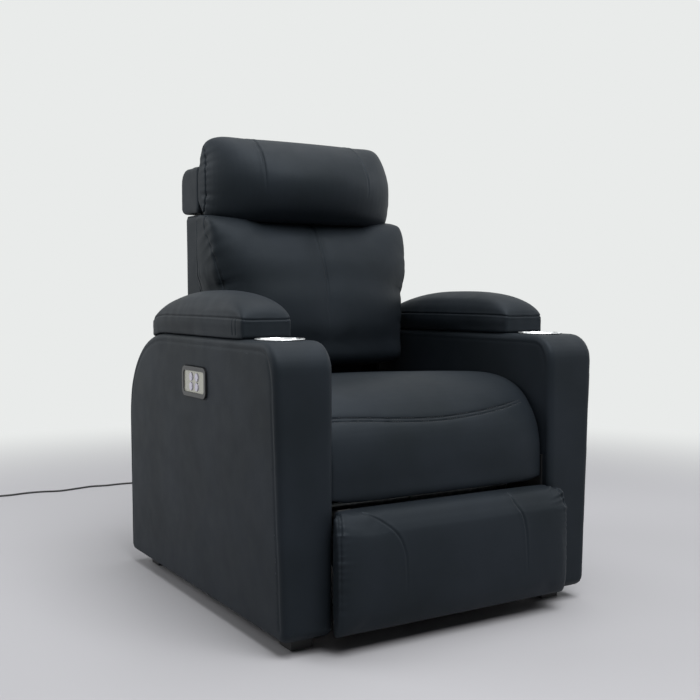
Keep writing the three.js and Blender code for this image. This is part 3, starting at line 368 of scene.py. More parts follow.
def evenly(points, count, closed=False):
    """The same line with its points spread evenly."""
    line = np.vstack([points, points[:1]]) if closed else points
    along = np.concatenate([[0], np.cumsum(np.linalg.norm(np.diff(line, axis=0), axis=1))])
    wanted = np.linspace(0, along[-1], count + 1)[:-1] if closed else np.linspace(0, along[-1], count)
    return np.column_stack([np.interp(wanted, along, line[:, k]) for k in range(line.shape[1])])


def outline(places, count):
    """A smooth closed outline through the places."""
    p = np.array(places, float)
    n = len(p)
    arcs = [centripetal(*p[[i - 1, i, (i + 1) % n, (i + 2) % n]], 12) for i in range(n)]
    return evenly(np.vstack(arcs), count, closed=True)


def line_through(places, steps):
    """A smooth open line through the places."""
    p = np.array(places, float)
    ends = np.vstack([2 * p[0] - p[1], p, 2 * p[-1] - p[-2]])
    parts = [centripetal(*ends[i:i + 4], steps) for i in range(len(p) - 1)]
    return np.vstack(parts + [p[-1:]])


def towards(places, middle, share_y, share_z):
    return middle + (places - middle) * [share_y, share_z]


def drawn_in(places, count, hub, deep, tall):
    """The outline through the places, drawn in towards a hub on the board that it is sewn to."""
    drawn = towards(outline(places, count), np.array(hub), deep, tall)
    drawn[:, 0] = np.minimum(drawn[:, 0], hub[0])
    return drawn


def spread(low, high, shares):
    """Places at shares of a box's depth and height."""
    return [tuple(low[1:] + (high[1:] - low[1:]) * share) for share in np.array(shares)]


def ease(value, start, stop):
    share = np.clip((value - start) / (stop - start), 0, 1)
    return share * share * (3 - 2 * share)


def loft(name, rings, material):
    """A closed skin through rings of equally many points, each end closed with rings that shrink."""
    def cap(ring):
        middle = ring.mean(axis=0)
        return [middle + (ring - middle) * share for share in (0.85, 0.7, 0.5, 0.3, 0.12)]
    rings = cap(rings[0])[::-1] + list(rings) + cap(rings[-1])
    n = len(rings[0])
    ends = [list(range(n))[::-1], list(range((len(rings) - 1) * n, len(rings) * n))]
    obj = piece(name, np.vstack(rings), ends + strips(n, len(rings)), material)
    shape = bmesh.new()
    shape.from_mesh(obj.data)
    bmesh.ops.recalc_face_normals(shape, faces=shape.faces)
    shape.to_mesh(obj.data)
    shape.free()
    return obj


def full_at(share, squareness):
    """How full a stuffed piece is, from 1 in the middle to 0 at the end of its half length."""
    return (1 - abs(share) ** squareness) ** (1 / squareness)


def stations(count):
    """Shares from -1 to 1 along a piece, closer together towards its ends."""
    return [math.sin((k / count - 0.5) * math.pi) for k in range(count + 1)]


NEARLY_CLOSED = 0.997


def cushion(name, half_width, section, squareness, count=110):
    """A soft piece sewn from one section that draws in towards its two ends."""
    rings = []
    for share in stations(40):
        ring = section(share, full_at(share * NEARLY_CLOSED, squareness), count)
        rings.append(np.column_stack([np.full(len(ring), share * half_width), ring]))
    return loft(name, rings, LEATHER)


def baked(obj):
    """Applies the piece's modifiers."""
    made = bpy.data.meshes.new_from_object(evaluated(obj))
    obj.modifiers.clear()
    old, obj.data = obj.data, made
    bpy.data.meshes.remove(old)
    obj.data.shade_smooth()
    return obj


def softened(obj, factor, times):
    soften = obj.modifiers.new("soften", "SMOOTH")
    soften.factor, soften.iterations = factor, times
    return baked(obj)


def evenly_meshed(obj, voxel):
    """Gives the piece an even mesh of small quads that lies on the shape it had."""
    shape = surface(obj)
    remesh = obj.modifiers.new("even mesh", "REMESH")
    remesh.mode, remesh.voxel_size = "VOXEL", voxel
    softened(obj, 0.5, 4)
    put_points(obj, [shape.find_nearest(Vector(p))[0] for p in points_of(obj)])
    return softened(obj, 0.4, 1)


COVER_WEIGHT = 0.35
STUFFING_PRESSURE = 4.0
SETTLING_FRAMES = 20


def plumped(obj, held, inset=1.5 * MM, cap=10 * MM, calm=12):
    """Lets the stuffing swell the cover: a cloth under pressure, fixed where it is held, that starts
    inside its shape by the inset and moves no further than the cap. calm evens the swelling out."""
    goal = points_of(obj)
    weights = held(goal)
    put_points(obj, goal - normals_of(obj) * inset * (1 - weights)[:, None])
    group = obj.vertex_groups.new(name="held")
    for weight in (0.5, 1.0):
        group.add(np.flatnonzero(weights >= weight).tolist(), weight, "REPLACE")
    cloth = obj.modifiers.new("cover", "CLOTH")
    cloth.settings.quality = 4
    cloth.settings.mass = COVER_WEIGHT
    cloth.settings.use_pressure = True
    cloth.settings.uniform_pressure_force = STUFFING_PRESSURE
    cloth.settings.vertex_group_mass = "held"
    cloth.settings.effector_weights.gravity = 0
    cloth.point_cache.frame_start, cloth.point_cache.frame_end = 1, SETTLING_FRAMES
    for n in range(1, SETTLING_FRAMES + 1):
        scene.frame_set(n)
    step = points_of(evaluated(obj)) - goal
    far = np.linalg.norm(step, axis=1)
    step *= (1 / (1 + (far / cap) ** 3) ** (1 / 3))[:, None]
    edges = np.array([e.vertices[:] for e in obj.data.edges])
    beside_it = np.bincount(edges.ravel(), minlength=len(step))[:, None]
    for _ in range(calm):
        total = np.zeros_like(step)
        np.add.at(total, edges[:, 0], step[edges[:, 1]])
        np.add.at(total, edges[:, 1], step[edges[:, 0]])
        step = 0.5 * step + 0.5 * total / beside_it
    obj.modifiers.clear()
    obj.vertex_groups.clear()
    scene.frame_set(1)
    put_points(obj, goal + step)


def held_behind(y):
    """Holds a cover where it lies on its board, behind the place y."""
    return lambda points: np.where(points[:, 1] > y, 1.0, 0.0)


def rounded(obj):
    obj.modifiers.new("rounded", "SUBSURF").levels = 1
    baked(obj)


# Sewing


def sewn(obj, places, behind=0.0):
    """A seam's line on the piece's surface through the places, which lie behind a plane."""
    line = line_through([(x, behind + y, z) for x, y, z in places], 30)
    length = np.linalg.norm(np.diff(line, axis=0), axis=1).sum()
    line = evenly(line, max(3, int(length / (2 * MM))))
    skin = surface(obj)
    return np.array([skin.find_nearest(Vector(p))[0] for p in line])


def both_sides(obj, places, behind=0.0):
    """The same seam on the left and on the right."""
    return [sewn(obj, [(side * x, y, z) for x, y, z in places], behind) for side in (-1, 1)]


def tree_of(line):
    tree = KDTree(len(line))
    for i, p in enumerate(line):
        tree.insert(p, i)
    tree.balance()
    return tree


def near(points, line, reach):
    """For the points within reach of the line: their numbers, distances and places along it."""
    low, high = line.min(axis=0) - reach, line.max(axis=0) + reach
    close = np.flatnonzero(((points > low) & (points < high)).all(axis=1))
    tree = tree_of(line)
    step = np.linalg.norm(np.diff(line, axis=0), axis=1)
    along = np.concatenate([[0], np.cumsum(step)])
    found = [tree.find(points[i]) for i in close]
    far = np.array([f[2] for f in found], float)
    place = along[np.array([f[1] for f in found], int)]
    keep = far < reach
    return close[keep], far[keep], place[keep], along[-1]


def refined(obj, lines, reach):
    """Makes the mesh finer along the lines."""
    points = points_of(obj)
    chosen = np.zeros(len(points), bool)
    for line in lines:
        chosen[near(points, line, reach)[0]] = True
    shape = bmesh.new()
    shape.from_mesh(obj.data)
    shape.verts.ensure_lookup_table()
    edges = [e for e in shape.edges if chosen[e.verts[0].index] and chosen[e.verts[1].index]]
    bmesh.ops.subdivide_edges(shape, edges=edges, cuts=1, use_grid_fill=True)
    shape.to_mesh(obj.data)
    shape.free()
    obj.data.shade_smooth()


PUCKER_GAIN = 2.2        # brings the noise's range up to about -1 to 1


def gathers(place, pitch, seed):
    """An uneven row of puckers along a seam, from -1 to 1."""
    return np.array([noise.noise((p / pitch, seed, 0.0)) for p in place]) * PUCKER_GAIN


def fading(place, length, ends):
    """1 along a seam, falling to 0 over each end's share of it, where that is given."""
    share = place / length
    fade = np.ones_like(share)
    for room, part in zip((share, 1 - share), ends):
        if part:
            fade *= np.clip(room / part, 0, 1)
    return fade


def pressed(obj, line, depth=2.0, width=3.0, puff=0.0, pucker=0.0, pitch=14.0, reach=22.0, seed=1.0,
            ends=(0, 0)):
    """Draws the skin in along a seam, in mm: a groove, a swelling beside it, puckers across it."""
    points, normals = points_of(obj), normals_of(obj)
    which, far, place, length = near(points, line, max(3 * width, 2.5 * reach) * MM)
    far, fade = far / MM, fading(place, length, ends)
    groove = np.exp(-(far / width) ** 2)
    swelling = np.exp(-((far - 2.4 * width) / (1.6 * width)) ** 2)
    move = -depth * groove + puff * swelling
    if pucker:
        move += pucker * gathers(place, pitch * MM, seed) * np.exp(-far / reach)
    points[which] += normals[which] * (move * fade)[:, None] * MM
    put_points(obj, points)


def pressed_in_turn(obj, lines, seed=1, **look):
    """Presses seams of one look, each with puckers of its own."""
    for n, line in enumerate(lines):
        pressed(obj, line, seed=seed + n, **look)


def beside(obj, line, shift):
    """The line moved sideways over the surface."""
    skin = surface(obj)
    out = []
    for p, ahead in zip(line, np.gradient(line, axis=0)):
        place, normal, _, _ = skin.find_nearest(Vector(p))
        side = normal.cross(Vector(ahead)).normalized()
        out.append(skin.find_nearest(place + side * shift)[0])
    return np.array(out)


STITCH_LENGTH, STITCH_PITCH, THREAD_RADIUS = 4.2 * MM, 5.6 * MM, 0.42 * MM
STITCH_SHAPE = [(-0.5, 0.25), (-0.36, 0.9), (0.0, 1.15), (0.36, 0.9), (0.5, 0.25)]   # along, thickness
STITCH_SIDES = 6


def stitches(name, obj, lines, body):
    """A run of thread stitches lying on the piece along the lines, their ends sunk in the leather."""
    skin = surface(obj)
    rows, n = len(STITCH_SHAPE), STITCH_SIDES
    shape = strips(n, rows) + [list(range(n))[::-1], list(range((rows - 1) * n, rows * n))]
    points, faces = [], []
    for line in lines:
        total = np.linalg.norm(np.diff(line, axis=0), axis=1).sum()
        even = evenly(line, max(2, int(total / STITCH_PITCH)))
        for p, a in zip(even, np.gradient(even, axis=0)):
            place, normal, _, _ = skin.find_nearest(Vector(p))
            ahead = Vector(a).normalized()
            side = normal.cross(ahead).normalized()
            faces += [[len(points) + v for v in face] for face in shape]
            for along, thick in STITCH_SHAPE:
                sunk = normal * THREAD_RADIUS * (0.25 - 2.2 * (2 * along) ** 2)
                for k in range(n):
                    angle = k * 2 * math.pi / n
                    out = (side * math.cos(angle) + normal * math.sin(angle)) * THREAD_RADIUS * thick
                    points.append(place + ahead * along * STITCH_LENGTH + sunk + out)
    run = piece(name, points, faces, THREAD)
    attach(run, body)


def settle(obj, body, *nodes, fill=0.8):
    """Parents a finished soft piece to the body that it rides on, and hides the solids that it stands
    for.
    """
    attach(obj, body)
    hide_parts(*nodes)


def mirrored(obj, name):
    points = points_of(obj) * [-1, 1, 1]
    faces = [list(f.vertices)[::-1] for f in obj.data.polygons]
    return piece(name, points, faces, obj.data.materials[0])


# Lead: the route from the strain relief to the coil, the coil, and the straight end at the plug.
# Its places are millimetres behind the arms' front plane, across, and over the floor.
LEAD_DIAMETER = 6.0
LEAD_ACROSS = 40.0
LEAD_HEIGHT = 92.0
LEAD_START = (RELIEF_END - FRONT) / MM + 0.3
LEAD_FALL = [(40, 892, 87), (41, 909, 68), (43, 924, 40), (46, 943, 17), (50, 968, 6.4), (57, 1000, 3.7)]
LEAD_ON_FLOOR = [
    (70, 1050), (90, 1130), (116, 1220), (140, 1320), (150, 1430), (146, 1540), (134, 1640),
    (112, 1730), (72, 1805), (20, 1850), (-30, 1872), (-80, 1878), (-130, 1876), (-180, 1886),
    (-235, 1874), (-300, 1862), (-360, 1880), (-410, 1884), (-460, 1876), (-500, 1878),
    (-530, 1880), (-560, 1880),
]
LEAD_ROUTE = LEAD_FALL + [(across, behind, LEAD_DIAMETER / 2 + 0.2) for across, behind in LEAD_ON_FLOOR]
COIL_LOOPS, COIL_PITCH, COIL_RADIUS, COIL_STEPS, COIL_TAIL = 4, 6.9, 38.0, 24, 44.0


def coil_place(start, turn):
    """The coil winds in on the floor, climbs one layer half way, and winds out again."""
    radius = COIL_RADIUS - COIL_PITCH * min(turn, COIL_LOOPS - turn)
    climb = min(max((turn - COIL_LOOPS / 2 + 0.25) / 0.5, 0), 1)
    lift = COIL_PITCH * climb * climb * (3 - 2 * climb)
    angle = math.pi / 2 + turn * 2 * math.pi
    middle = start + [-LEAD_DIAMETER, -COIL_RADIUS, 0]
    return middle + [radius * math.cos(angle), radius * math.sin(angle), lift]


def lead_line():
    route = [(LEAD_ACROSS, LEAD_START, LEAD_HEIGHT), (LEAD_ACROSS, LEAD_START + 18, LEAD_HEIGHT)]
    run = line_through(route + LEAD_ROUTE, 5)
    start = np.array(LEAD_ROUTE[-1]) + [-0.3, 0, 0]
    turns = [start, start + [-LEAD_DIAMETER / 2, 0, 0]]
    turns += [coil_place(start, i / COIL_STEPS) for i in range(COIL_LOOPS * COIL_STEPS + 1)]
    turns += [turns[-1] + [-COIL_TAIL * share, 0, 0] for share in (0.1, 0.4, 0.7, 1)]
    line = np.vstack([run, line_through(turns, 3)[1:]])
    return line * MM + [0, FRONT, 0], np.array(turns) * MM + [0, FRONT, 0]


lead_points, coil_points = lead_line()
lead_curve = bpy.data.curves.new("power_lead", "CURVE")
lead_curve.dimensions = "3D"
lead_curve.bevel_depth = LEAD_DIAMETER / 2 * MM
lead_curve.bevel_resolution = 3
lead_curve.use_fill_caps = True
spline = lead_curve.splines.new("POLY")
spline.points.add(len(lead_points) - 1)
for target, p in zip(spline.points, lead_points):
    target.co = (*p, 1)
lead = bpy.data.objects.new("power_lead", lead_curve)
lead_curve.materials.append(SHEATH)
scene.collection.objects.link(lead)
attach(lead, "base")
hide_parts("power_cord", "cord_coil")


def coil_tie():
    """A hook-and-loop strap, 12 mm wide, round the turns on the coil's far side."""
    middle = coil_points[2:2 + COIL_LOOPS * COIL_STEPS].mean(axis=0)
    inner = (COIL_RADIUS - COIL_PITCH * (COIL_LOOPS / 2) - LEAD_DIAMETER) * MM
    outer = (COIL_RADIUS + LEAD_DIAMETER / 2 + 1.2) * MM
    high = (LEAD_DIAMETER * 2 + 2.6) * MM
    section = outline([(inner, 0.4 * MM), (inner - MM, high / 2), (inner, high),
                       ((inner + outer) / 2, high + MM), (outer, high - 2 * MM), (outer + MM, high / 3),
                       (outer - MM, 0.4 * MM)], 48)
    section[:, 1] = np.maximum(section[:, 1], 0.2 * MM)
    half_width, thick = 6 * MM, 1.1 * MM
    outward = section - section.mean(axis=0)
    inside = section - outward * (thick / np.linalg.norm(outward, axis=1))[:, None]
    rings = ((section, -1), (section, 1), (inside, 1), (inside, -1))
    points = [(middle[0] + across * half_width, middle[1] - a, b)
              for ring, across in rings for a, b in ring]
    faces = [[v % len(points) for v in face] for face in strips(len(section), 5)]
    tie = piece("coil_tie", points, faces, FELT_AND_SHADE)
    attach(tie, "base")


coil_tie()

# Seat cushion


def seat_section(share, fullness, count):
    """The seat from the side: a lip over the rail, a rolled front, a top that falls to the rear."""
    front = SEAT_LOW[1] + MM + 14 * MM * abs(share) ** 6
    lip_rear, lip_depth = SEAT_LOW[1] + 21 * MM, 20 * MM
    deck = SEAT_DECK + 0.3 * MM
    lip = deck - SEAT_LOW[2]
    crown = (SEAT_HIGH[2] - deck) * (0.965 + 0.035 * (1 - share ** 2))
    rear = SEAT_HIGH[1]

    def at(back, up):
        return front + (rear - front) * back, deck + crown * up
    places = [
        (front + lip_depth * 0.1, SEAT_LOW[2]), (lip_rear - lip_depth * 0.05, SEAT_LOW[2]),
        (lip_rear, SEAT_LOW[2] + lip * 0.15), (lip_rear, deck - lip * 0.1),
        (lip_rear + lip_depth * 0.05, deck), (lip_rear + lip_depth * 0.6, deck),
        at(0.3, 0), at(0.6, 0), at(0.965, 0), at(0.997, 0.02), at(1, 0.4), at(0.99, 0.78),
        at(0.93, 0.87), at(0.7, 0.935), at(0.48, 0.985), at(0.3, 1), at(0.181, 0.93), at(0.105, 0.8),
        at(0.054, 0.62), at(0.018, 0.42), at(0, 0.17), at(-0.002, -0.08),
    ]
    smooth = outline(places, count)
    middle = np.array([(FRONT + rear) / 2, deck])
    drawn = towards(smooth, middle, 0.95 + 0.05 * fullness, 0.75 + 0.25 * fullness)
    ahead = smooth[:, 0] < middle[0]
    under = ahead & (smooth[:, 1] < deck)
    drawn[ahead, 0] = smooth[ahead, 0]
    drawn[:, 1] = np.maximum(drawn[:, 1], deck)
    drawn[under] = np.column_stack([np.minimum(smooth[under, 0], lip_rear),
                                    np.maximum(smooth[under, 1], SEAT_LOW[2])])
    return drawn


def seat_cushion():
    seat = evenly_meshed(cushion("seat_upholstery", SEAT_HIGH[0], seat_section, squareness=13), 6 * MM)

    def held(p):
        under = (p[:, 2] < SEAT_DECK + 6 * MM) & (p[:, 1] > SEAT_LOW[1] + 12 * MM)
        return np.where(under, 1.0, np.where(p[:, 1] > SEAT_HIGH[1] - 20 * MM, 0.5, 0.0))
    plumped(seat, held, cap=7 * MM, calm=30)
    rounded(seat)
    points = points_of(seat)
    points[:, 0] = np.clip(points[:, 0], -INNER + MM, INNER - MM)
    put_points(seat, points)
    roll = sewn(seat, [(-0.262, 0.03, 0.452), (-0.19, 0.025, 0.446), (-0.103, 0.022, 0.438),
                       (-0.003, 0.02, 0.434), (0.103, 0.022, 0.441), (0.172, 0.028, 0.449),
                       (0.235, 0.04, 0.458)], behind=SEAT_LOW[1])
    threads = [beside(seat, roll, side * 3.4 * MM) for side in (1, -1)]
    refined(seat, [roll], 16 * MM)
    refined(seat, [roll], 9 * MM)
    pressed(seat, roll, depth=2.0, width=9.0, ends=(0, 0.12), pucker=0.5, pitch=24, reach=18, seed=4)
    pressed_in_turn(seat, threads, depth=3.4, width=2.0, ends=(0, 0.15))
    stitches("seat_topstitching", seat, threads, "base")
    settle(seat, "base", "seat_cushion", fill=0.85)


seat_cushion()

# Footrest cushion


def footrest_section(share, fullness, count):
    shares = [
        (1, 0.04), (1, 0.3), (1, 0.6), (1, 0.95), (0.91, 0.99), (0.62, 1), (0.35, 0.97), (0.16, 0.88),
        (0.055, 0.73), (0.01, 0.55), (0, 0.38), (0.02, 0.22), (0.08, 0.09), (0.21, 0.015), (0.5, 0),
        (0.88, 0.012),
    ]
    *places, hub = spread(FOOT_LOW, FOOT_HIGH, shares + [(1, 0.5)])
    return drawn_in(places, count, hub, 0.55 + 0.45 * fullness, 0.9 + 0.1 * fullness)


def footrest_cushion():
    half, front = FOOT_HIGH[0], FOOT_LOW[1]
    foot = cushion("footrest_upholstery", half, footrest_section, squareness=9, count=80)
    points = points_of(foot)
    depth = ease(points[:, 1], front + 30 * MM, FRONT - 4 * MM)
    points[:, 0] *= (half + (INNER - 6 * MM - half) * depth) / half
    put_points(foot, points)
    evenly_meshed(foot, 5 * MM)
    plumped(foot, held_behind(FOOT_HIGH[1] - 8 * MM), cap=4 * MM)
    rounded(foot)
    left = sewn(foot, [(-0.222, 0.03, 0.272), (-0.182, 0.01, 0.247), (-0.158, 0, 0.222),
                       (-0.145, 0, 0.19), (-0.142, 0, 0.15), (-0.141, 0, 0.1)], behind=front)
    right = sewn(foot, [(0.14, 0.03, 0.272), (0.147, 0.01, 0.25), (0.157, 0, 0.23), (0.163, 0, 0.2),
                        (0.166, 0, 0.15), (0.167, 0, 0.1)], behind=front)
    ends = both_sides(foot, [(0.272, 0.04, 0.27), (0.28, 0.02, 0.258), (0.286, 0.008, 0.22),
                             (0.287, 0.006, 0.15), (0.285, 0.008, 0.08), (0.278, 0.02, 0.045)], front)
    corners = both_sides(foot, [(0.268, 0.045, 0.272), (0.276, 0.026, 0.262), (0.284, 0.01, 0.235)],
                         front)
    refined(foot, [left, right, *ends, *corners], 8 * MM)
    pressed_in_turn(foot, (left, right), 0, depth=1.8, width=2.2, puff=0.5, pucker=0.3, pitch=18,
                    ends=(0, 0.55))
    pressed_in_turn(foot, ends, 5, depth=1.8, width=2.4, puff=0.6, pucker=1.5, pitch=11, reach=13,
                    ends=(0, 0.6))
    pressed_in_turn(foot, corners, 12, depth=2.2, width=5.0, pucker=2.0, pitch=9, reach=16)
    settle(foot, "footrest", "footrest_cushion", fill=0.8)


footrest_cushion()

# Back cushion


BACK_SWELL = BACK_HIGH[0] - STILE_HIGH[0] + 4 * MM    # how far each side spreads over the arms' pads
BACK_EAR = 12 * MM                          # rise of the top corners beside the headrest hinge


def back_section(share, fullness, count):
    """The back from the side: a lumbar roll low down, a slope behind the head."""
    rear = BACK_HIGH[1]
    reach, height = rear - BACK_LOW[1], BACK_HIGH[2] - BACK_EAR - BACK_LOW[2]
    side = 55 * MM * abs(share) ** 2.4

    def at(back, up):
        return BACK_LOW[1] + reach * back + side * (1 - up ** 2.5), BACK_LOW[2] + height * up
    places = [(rear, BACK_LOW[2] + height * up) for up in (0.03, 0.25, 0.5, 0.75, 0.96)]
    places += [
        at(0.96, 1), at(0.82, 1), at(0.65, 0.99), at(0.52, 0.975), at(0.35, 0.905), at(0.19, 0.74),
        at(0.11, 0.588), at(0.03, 0.449), at(0.01, 0.3), at(0.02, 0.175), at(0, 0.06), at(0.06, 0.015),
        at(0.3, 0), at(0.6, 0), (rear - reach * 0.05, BACK_LOW[2]),
    ]
    hub = (rear, BACK_LOW[2] + height / 2)
    return drawn_in(places, count, hub, 0.45 + 0.55 * fullness, 0.9 + 0.1 * fullness)


def back_cushion():
    back = cushion("back_upholstery", STILE_HIGH[0], back_section, squareness=9)
    points = points_of(back)
    top = BACK_HIGH[2] - BACK_EAR
    beside_hinge = ease(np.abs(points[:, 0]), LEAF_END + 10 * MM, LEAF_END + 60 * MM)
    points[:, 2] += BACK_EAR * beside_hinge * ease(points[:, 2], top - 60 * MM, top)
    over_arms = ease(points[:, 2], PAD_HIGH[2] - 15 * MM, PAD_HIGH[2] + 50 * MM)
    points[:, 0] *= 1 + BACK_SWELL / STILE_HIGH[0] * over_arms
    put_points(back, points)
    evenly_meshed(back, 6 * MM)

    def held(p):
        under_seam = (np.abs(p[:, 0]) < 5 * MM) & (p[:, 2] > BACK_LOW[2] + 0.12) & (
            p[:, 1] < BACK_HIGH[1] - 0.05)
        return np.where(p[:, 1] > BACK_HIGH[1] - 10 * MM, 1.0, np.where(under_seam, 0.5, 0.0))
    plumped(back, held, cap=7 * MM, calm=60)
    rounded(back)
    middle = sewn(back, [(0, 0.62, 0.873), (0, 0.577, 0.858), (0, 0.546, 0.831), (0, 0.517, 0.776),
                         (0.002, 0.502, 0.726), (0, 0.487, 0.677), (0, 0.486, 0.62), (0, 0.488, 0.56)],
                  behind=FRONT)
    corners = both_sides(back, [(0.272, 0.614, 0.892), (0.275, 0.606, 0.85), (0.275, 0.58, 0.81),
                                (0.274, 0.559, 0.772), (0.268, 0.541, 0.717), (0.262, 0.536, 0.64),
                                (0.26, 0.534, 0.57)], FRONT)
    rears = both_sides(back, [(0.277, 0.652, 0.87), (0.277, 0.652, 0.8), (0.277, 0.65, 0.72),
                              (0.266, 0.65, 0.66), (0.266, 0.65, 0.56)], FRONT)
    refined(back, [middle, *corners, *rears], 9 * MM)
    pressed(back, middle, depth=2.2, width=2.6, puff=0.5, pucker=0.2, pitch=40, reach=26, ends=(0, 0.4))
    pressed(back, middle, depth=3.0, width=26, ends=(0.1, 0.3))
    pressed_in_turn(back, corners, 9, depth=2.4, width=2.6, puff=0.3, pucker=1.6, pitch=20, reach=20)
    for line in rears:
        pressed(back, line, depth=1.8, width=2.2, pucker=0.8, pitch=24, reach=12, seed=4)
    settle(back, "back", "back_cushion", fill=0.8)


back_cushion()

# Back shell: the upholstered sides and rear of the back frame


def back_shell():
    """A cover drawn tight over the stiles and the rear panel, rounded at its rear corners."""
    front, half, tall = STILE_LOW[1], STILE_HIGH[0], STILE_HIGH[2] - STILE_LOW[2]
    foot_depth = box("back_rail_bottom")[1][1] - front + 6.3 * MM
    rows, count, turn_in = 61, 120, 5 * MM
    rings = []
    for up in np.arange(rows) / (rows - 1):
        depth = foot_depth + (STILE_HIGH[1] - front - foot_depth) * up
        inset = max(0.0, turn_in - min(up, 1 - up) * tall) ** 2 / turn_in * 0.6
        side = half - inset
        outer = [(side, 7 * MM), (side + 0.4 * MM, depth / 2), (side, depth - 9 * MM),
                 (side - 3 * MM, depth - 3 * MM - inset), (half - 10 * MM, depth - inset),
                 (half / 2, depth + 0.5 * MM - inset), (0, depth + MM - inset)]
        ring = np.array(outer + [(-x, y) for x, y in outer[-2::-1]]) + [0, front]
        rings.append(np.column_stack([evenly(ring, count), np.full(count, STILE_LOW[2] + tall * up)]))
    shell = piece("back_shell_cover", np.vstack(rings), strips(count, rows, closed=False), LEATHER)
    solidify = shell.modifiers.new("leather over foam", "SOLIDIFY")
    solidify.thickness, solidify.offset = 5 * MM, -1
    return baked(shell)


# Bolster and the board behind it


BOLSTER_SQUARENESS = 7


def bolster_section(share, fullness, count):
    shares = [
        (1, 0.17), (1, 0.35), (1, 0.55), (1, 0.7), (1, 0.82), (0.97, 0.92), (0.89, 0.985), (0.77, 1),
        (0.6, 0.975), (0.42, 0.91), (0.24, 0.8), (0.09, 0.65), (0.01, 0.5), (0, 0.35), (0.05, 0.19),
        (0.15, 0.05), (0.3, -0.035), (0.45, -0.045), (0.56, -0.035), (0.64, 0.01), (0.8, 0.08),
        (0.93, 0.13),
    ]
    *places, hub = spread(BOLSTER_LOW, BOLSTER_HIGH, shares + [(1, 0.5)])
    return drawn_in(places, count, hub, 0.1 + 0.9 * (1 - share ** 2) ** 0.5, 0.25 + 0.75 * fullness)


def head_bolster():
    half, rear = BOLSTER_HIGH[:2]
    bolster = cushion("bolster_upholstery", half, bolster_section, BOLSTER_SQUARENESS)
    points = points_of(bolster)
    upper = ease(points[:, 2], (BOLSTER_LOW[2] + BOLSTER_HIGH[2]) / 2, BOLSTER_HIGH[2])
    points[:, 2] += 5 * MM * upper * ease(np.abs(points[:, 0]), half * 0.55, half * 0.88)
    points[:, 0] *= 1 - 0.05 * upper * ease(np.abs(points[:, 0]), half * 0.7, half)
    put_points(bolster, points)
    evenly_meshed(bolster, 5 * MM)
    plumped(bolster, held_behind(rear - 8 * MM), cap=6 * MM, calm=20)
    rounded(bolster)
    seams = [sewn(bolster, [(x, 0.66, 1.073), (x, 0.62, 1.07), (x * 1.02, 0.565, 1.042),
                            (x * 1.04, 0.54, 1.005), (x * 1.06, 0.525, 0.97), (x * 1.06, 0.52, 0.93)],
                  behind=FRONT) for x in (-0.145, 0.13)]
    end = 0.988
    ring = bolster_section(end, full_at(end, BOLSTER_SQUARENESS), 60)
    ring = ring[ring[:, 0] < rear - 4 * MM]
    turn = np.arctan2(ring[:, 1] - ring[:, 1].mean(), rear - ring[:, 0])
    ends = both_sides(bolster, [(end * half, y, z) for y, z in ring[np.argsort(turn)][::3]])
    refined(bolster, [*seams, *ends], 8 * MM)
    pressed_in_turn(bolster, seams, 0, depth=2.0, width=2.6, puff=0.8, pucker=0.5, pitch=20, reach=24,
                    ends=(0, 0.4))
    pressed_in_turn(bolster, ends, 3, depth=2.6, width=2.4, puff=0.3, pucker=2.0, pitch=15, reach=18)
    settle(bolster, "headrest", "headrest_bolster", fill=0.85)


head_bolster()


def head_board():
    """The padded board behind the bolster, its cover drawn over rounded edges and sewn at the ends."""
    (_, front, foot), (half, rear, top) = BOARD_LOW, BOARD_HIGH
    r = 34 * MM
    corner = [(rear - r + r * math.sin(a), top - r + r * math.cos(a)) for a in np.linspace(0.1, 1.5, 6)]
    heel = [(rear - r / 2 + r / 2 * math.cos(a), foot + r / 2 - r / 2 * math.sin(a))
            for a in np.linspace(0.1, 1.5, 4)]
    places = [(front + 4 * MM, top), (front + (rear - front) * 0.45, top), *corner,
              (rear, foot + (top - foot) * 0.45), *heel, (front + (rear - front) * 0.4, foot),
              (front + 4 * MM, foot), (front, foot + 5 * MM), (front, (foot + top) / 2),
              (front, top - 5 * MM)]

    def section(share, fullness, count):
        middle = (BOARD_LOW[1:] + BOARD_HIGH[1:]) / 2
        return towards(outline(places, count), middle, 0.86 + 0.14 * fullness, 0.86 + 0.14 * fullness)
    board = cushion("headrest_board_cover", half, section, squareness=14, count=70)
    rounded(evenly_meshed(board, 6 * MM))
    x = half - 14 * MM
    ends = both_sides(board, [(x, front + 0.02, top), (x, rear - 0.035, top),
                              (x, rear - 0.005, top - 0.02), (x, rear, foot + 0.05),
                              (x, rear - 0.01, foot + 0.004)])
    refined(board, ends, 8 * MM)
    pressed_in_turn(board, ends, 0, depth=1.6, width=2.4, puff=0.5, pucker=0.7, pitch=15, reach=12)
    settle(board, "headrest", "headrest_board", fill=0.5)


head_board()
settle(back_shell(), "back", "back_stile_left", "back_stile_right", "back_panel", fill=0.3)

# Arms

ARM_FLARE = 19 * MM             # how much wider the arm is at its top than at its foot, in front
FLARE_AT_REAR = 0.15            # the share of it that is left at the rear
ARM_OUTER = ARM_HIGH[0] - ARM_FLARE
ARM_REAR = ARM_HIGH[1]
ARM_FRONT_RADIUS = 58 * MM
ARM_REAR_RISE, ARM_REAR_REACH, ARM_REAR_POWER = 240 * MM, 278 * MM, 2.3
ARM_EDGE = 13 * MM              # the foam's rounding along the edges
PANEL_CROWN = 2.2 * MM


def flare_at(y, z):
    """How much wider the arm is at a place on its outer side than at its foot."""
    back = (y - FRONT) / (ARM_REAR - FRONT)
    return ARM_FLARE * (z - ARM_BOTTOM) / (ARM_TOP - ARM_BOTTOM) * (1 - (1 - FLARE_AT_REAR) * back)


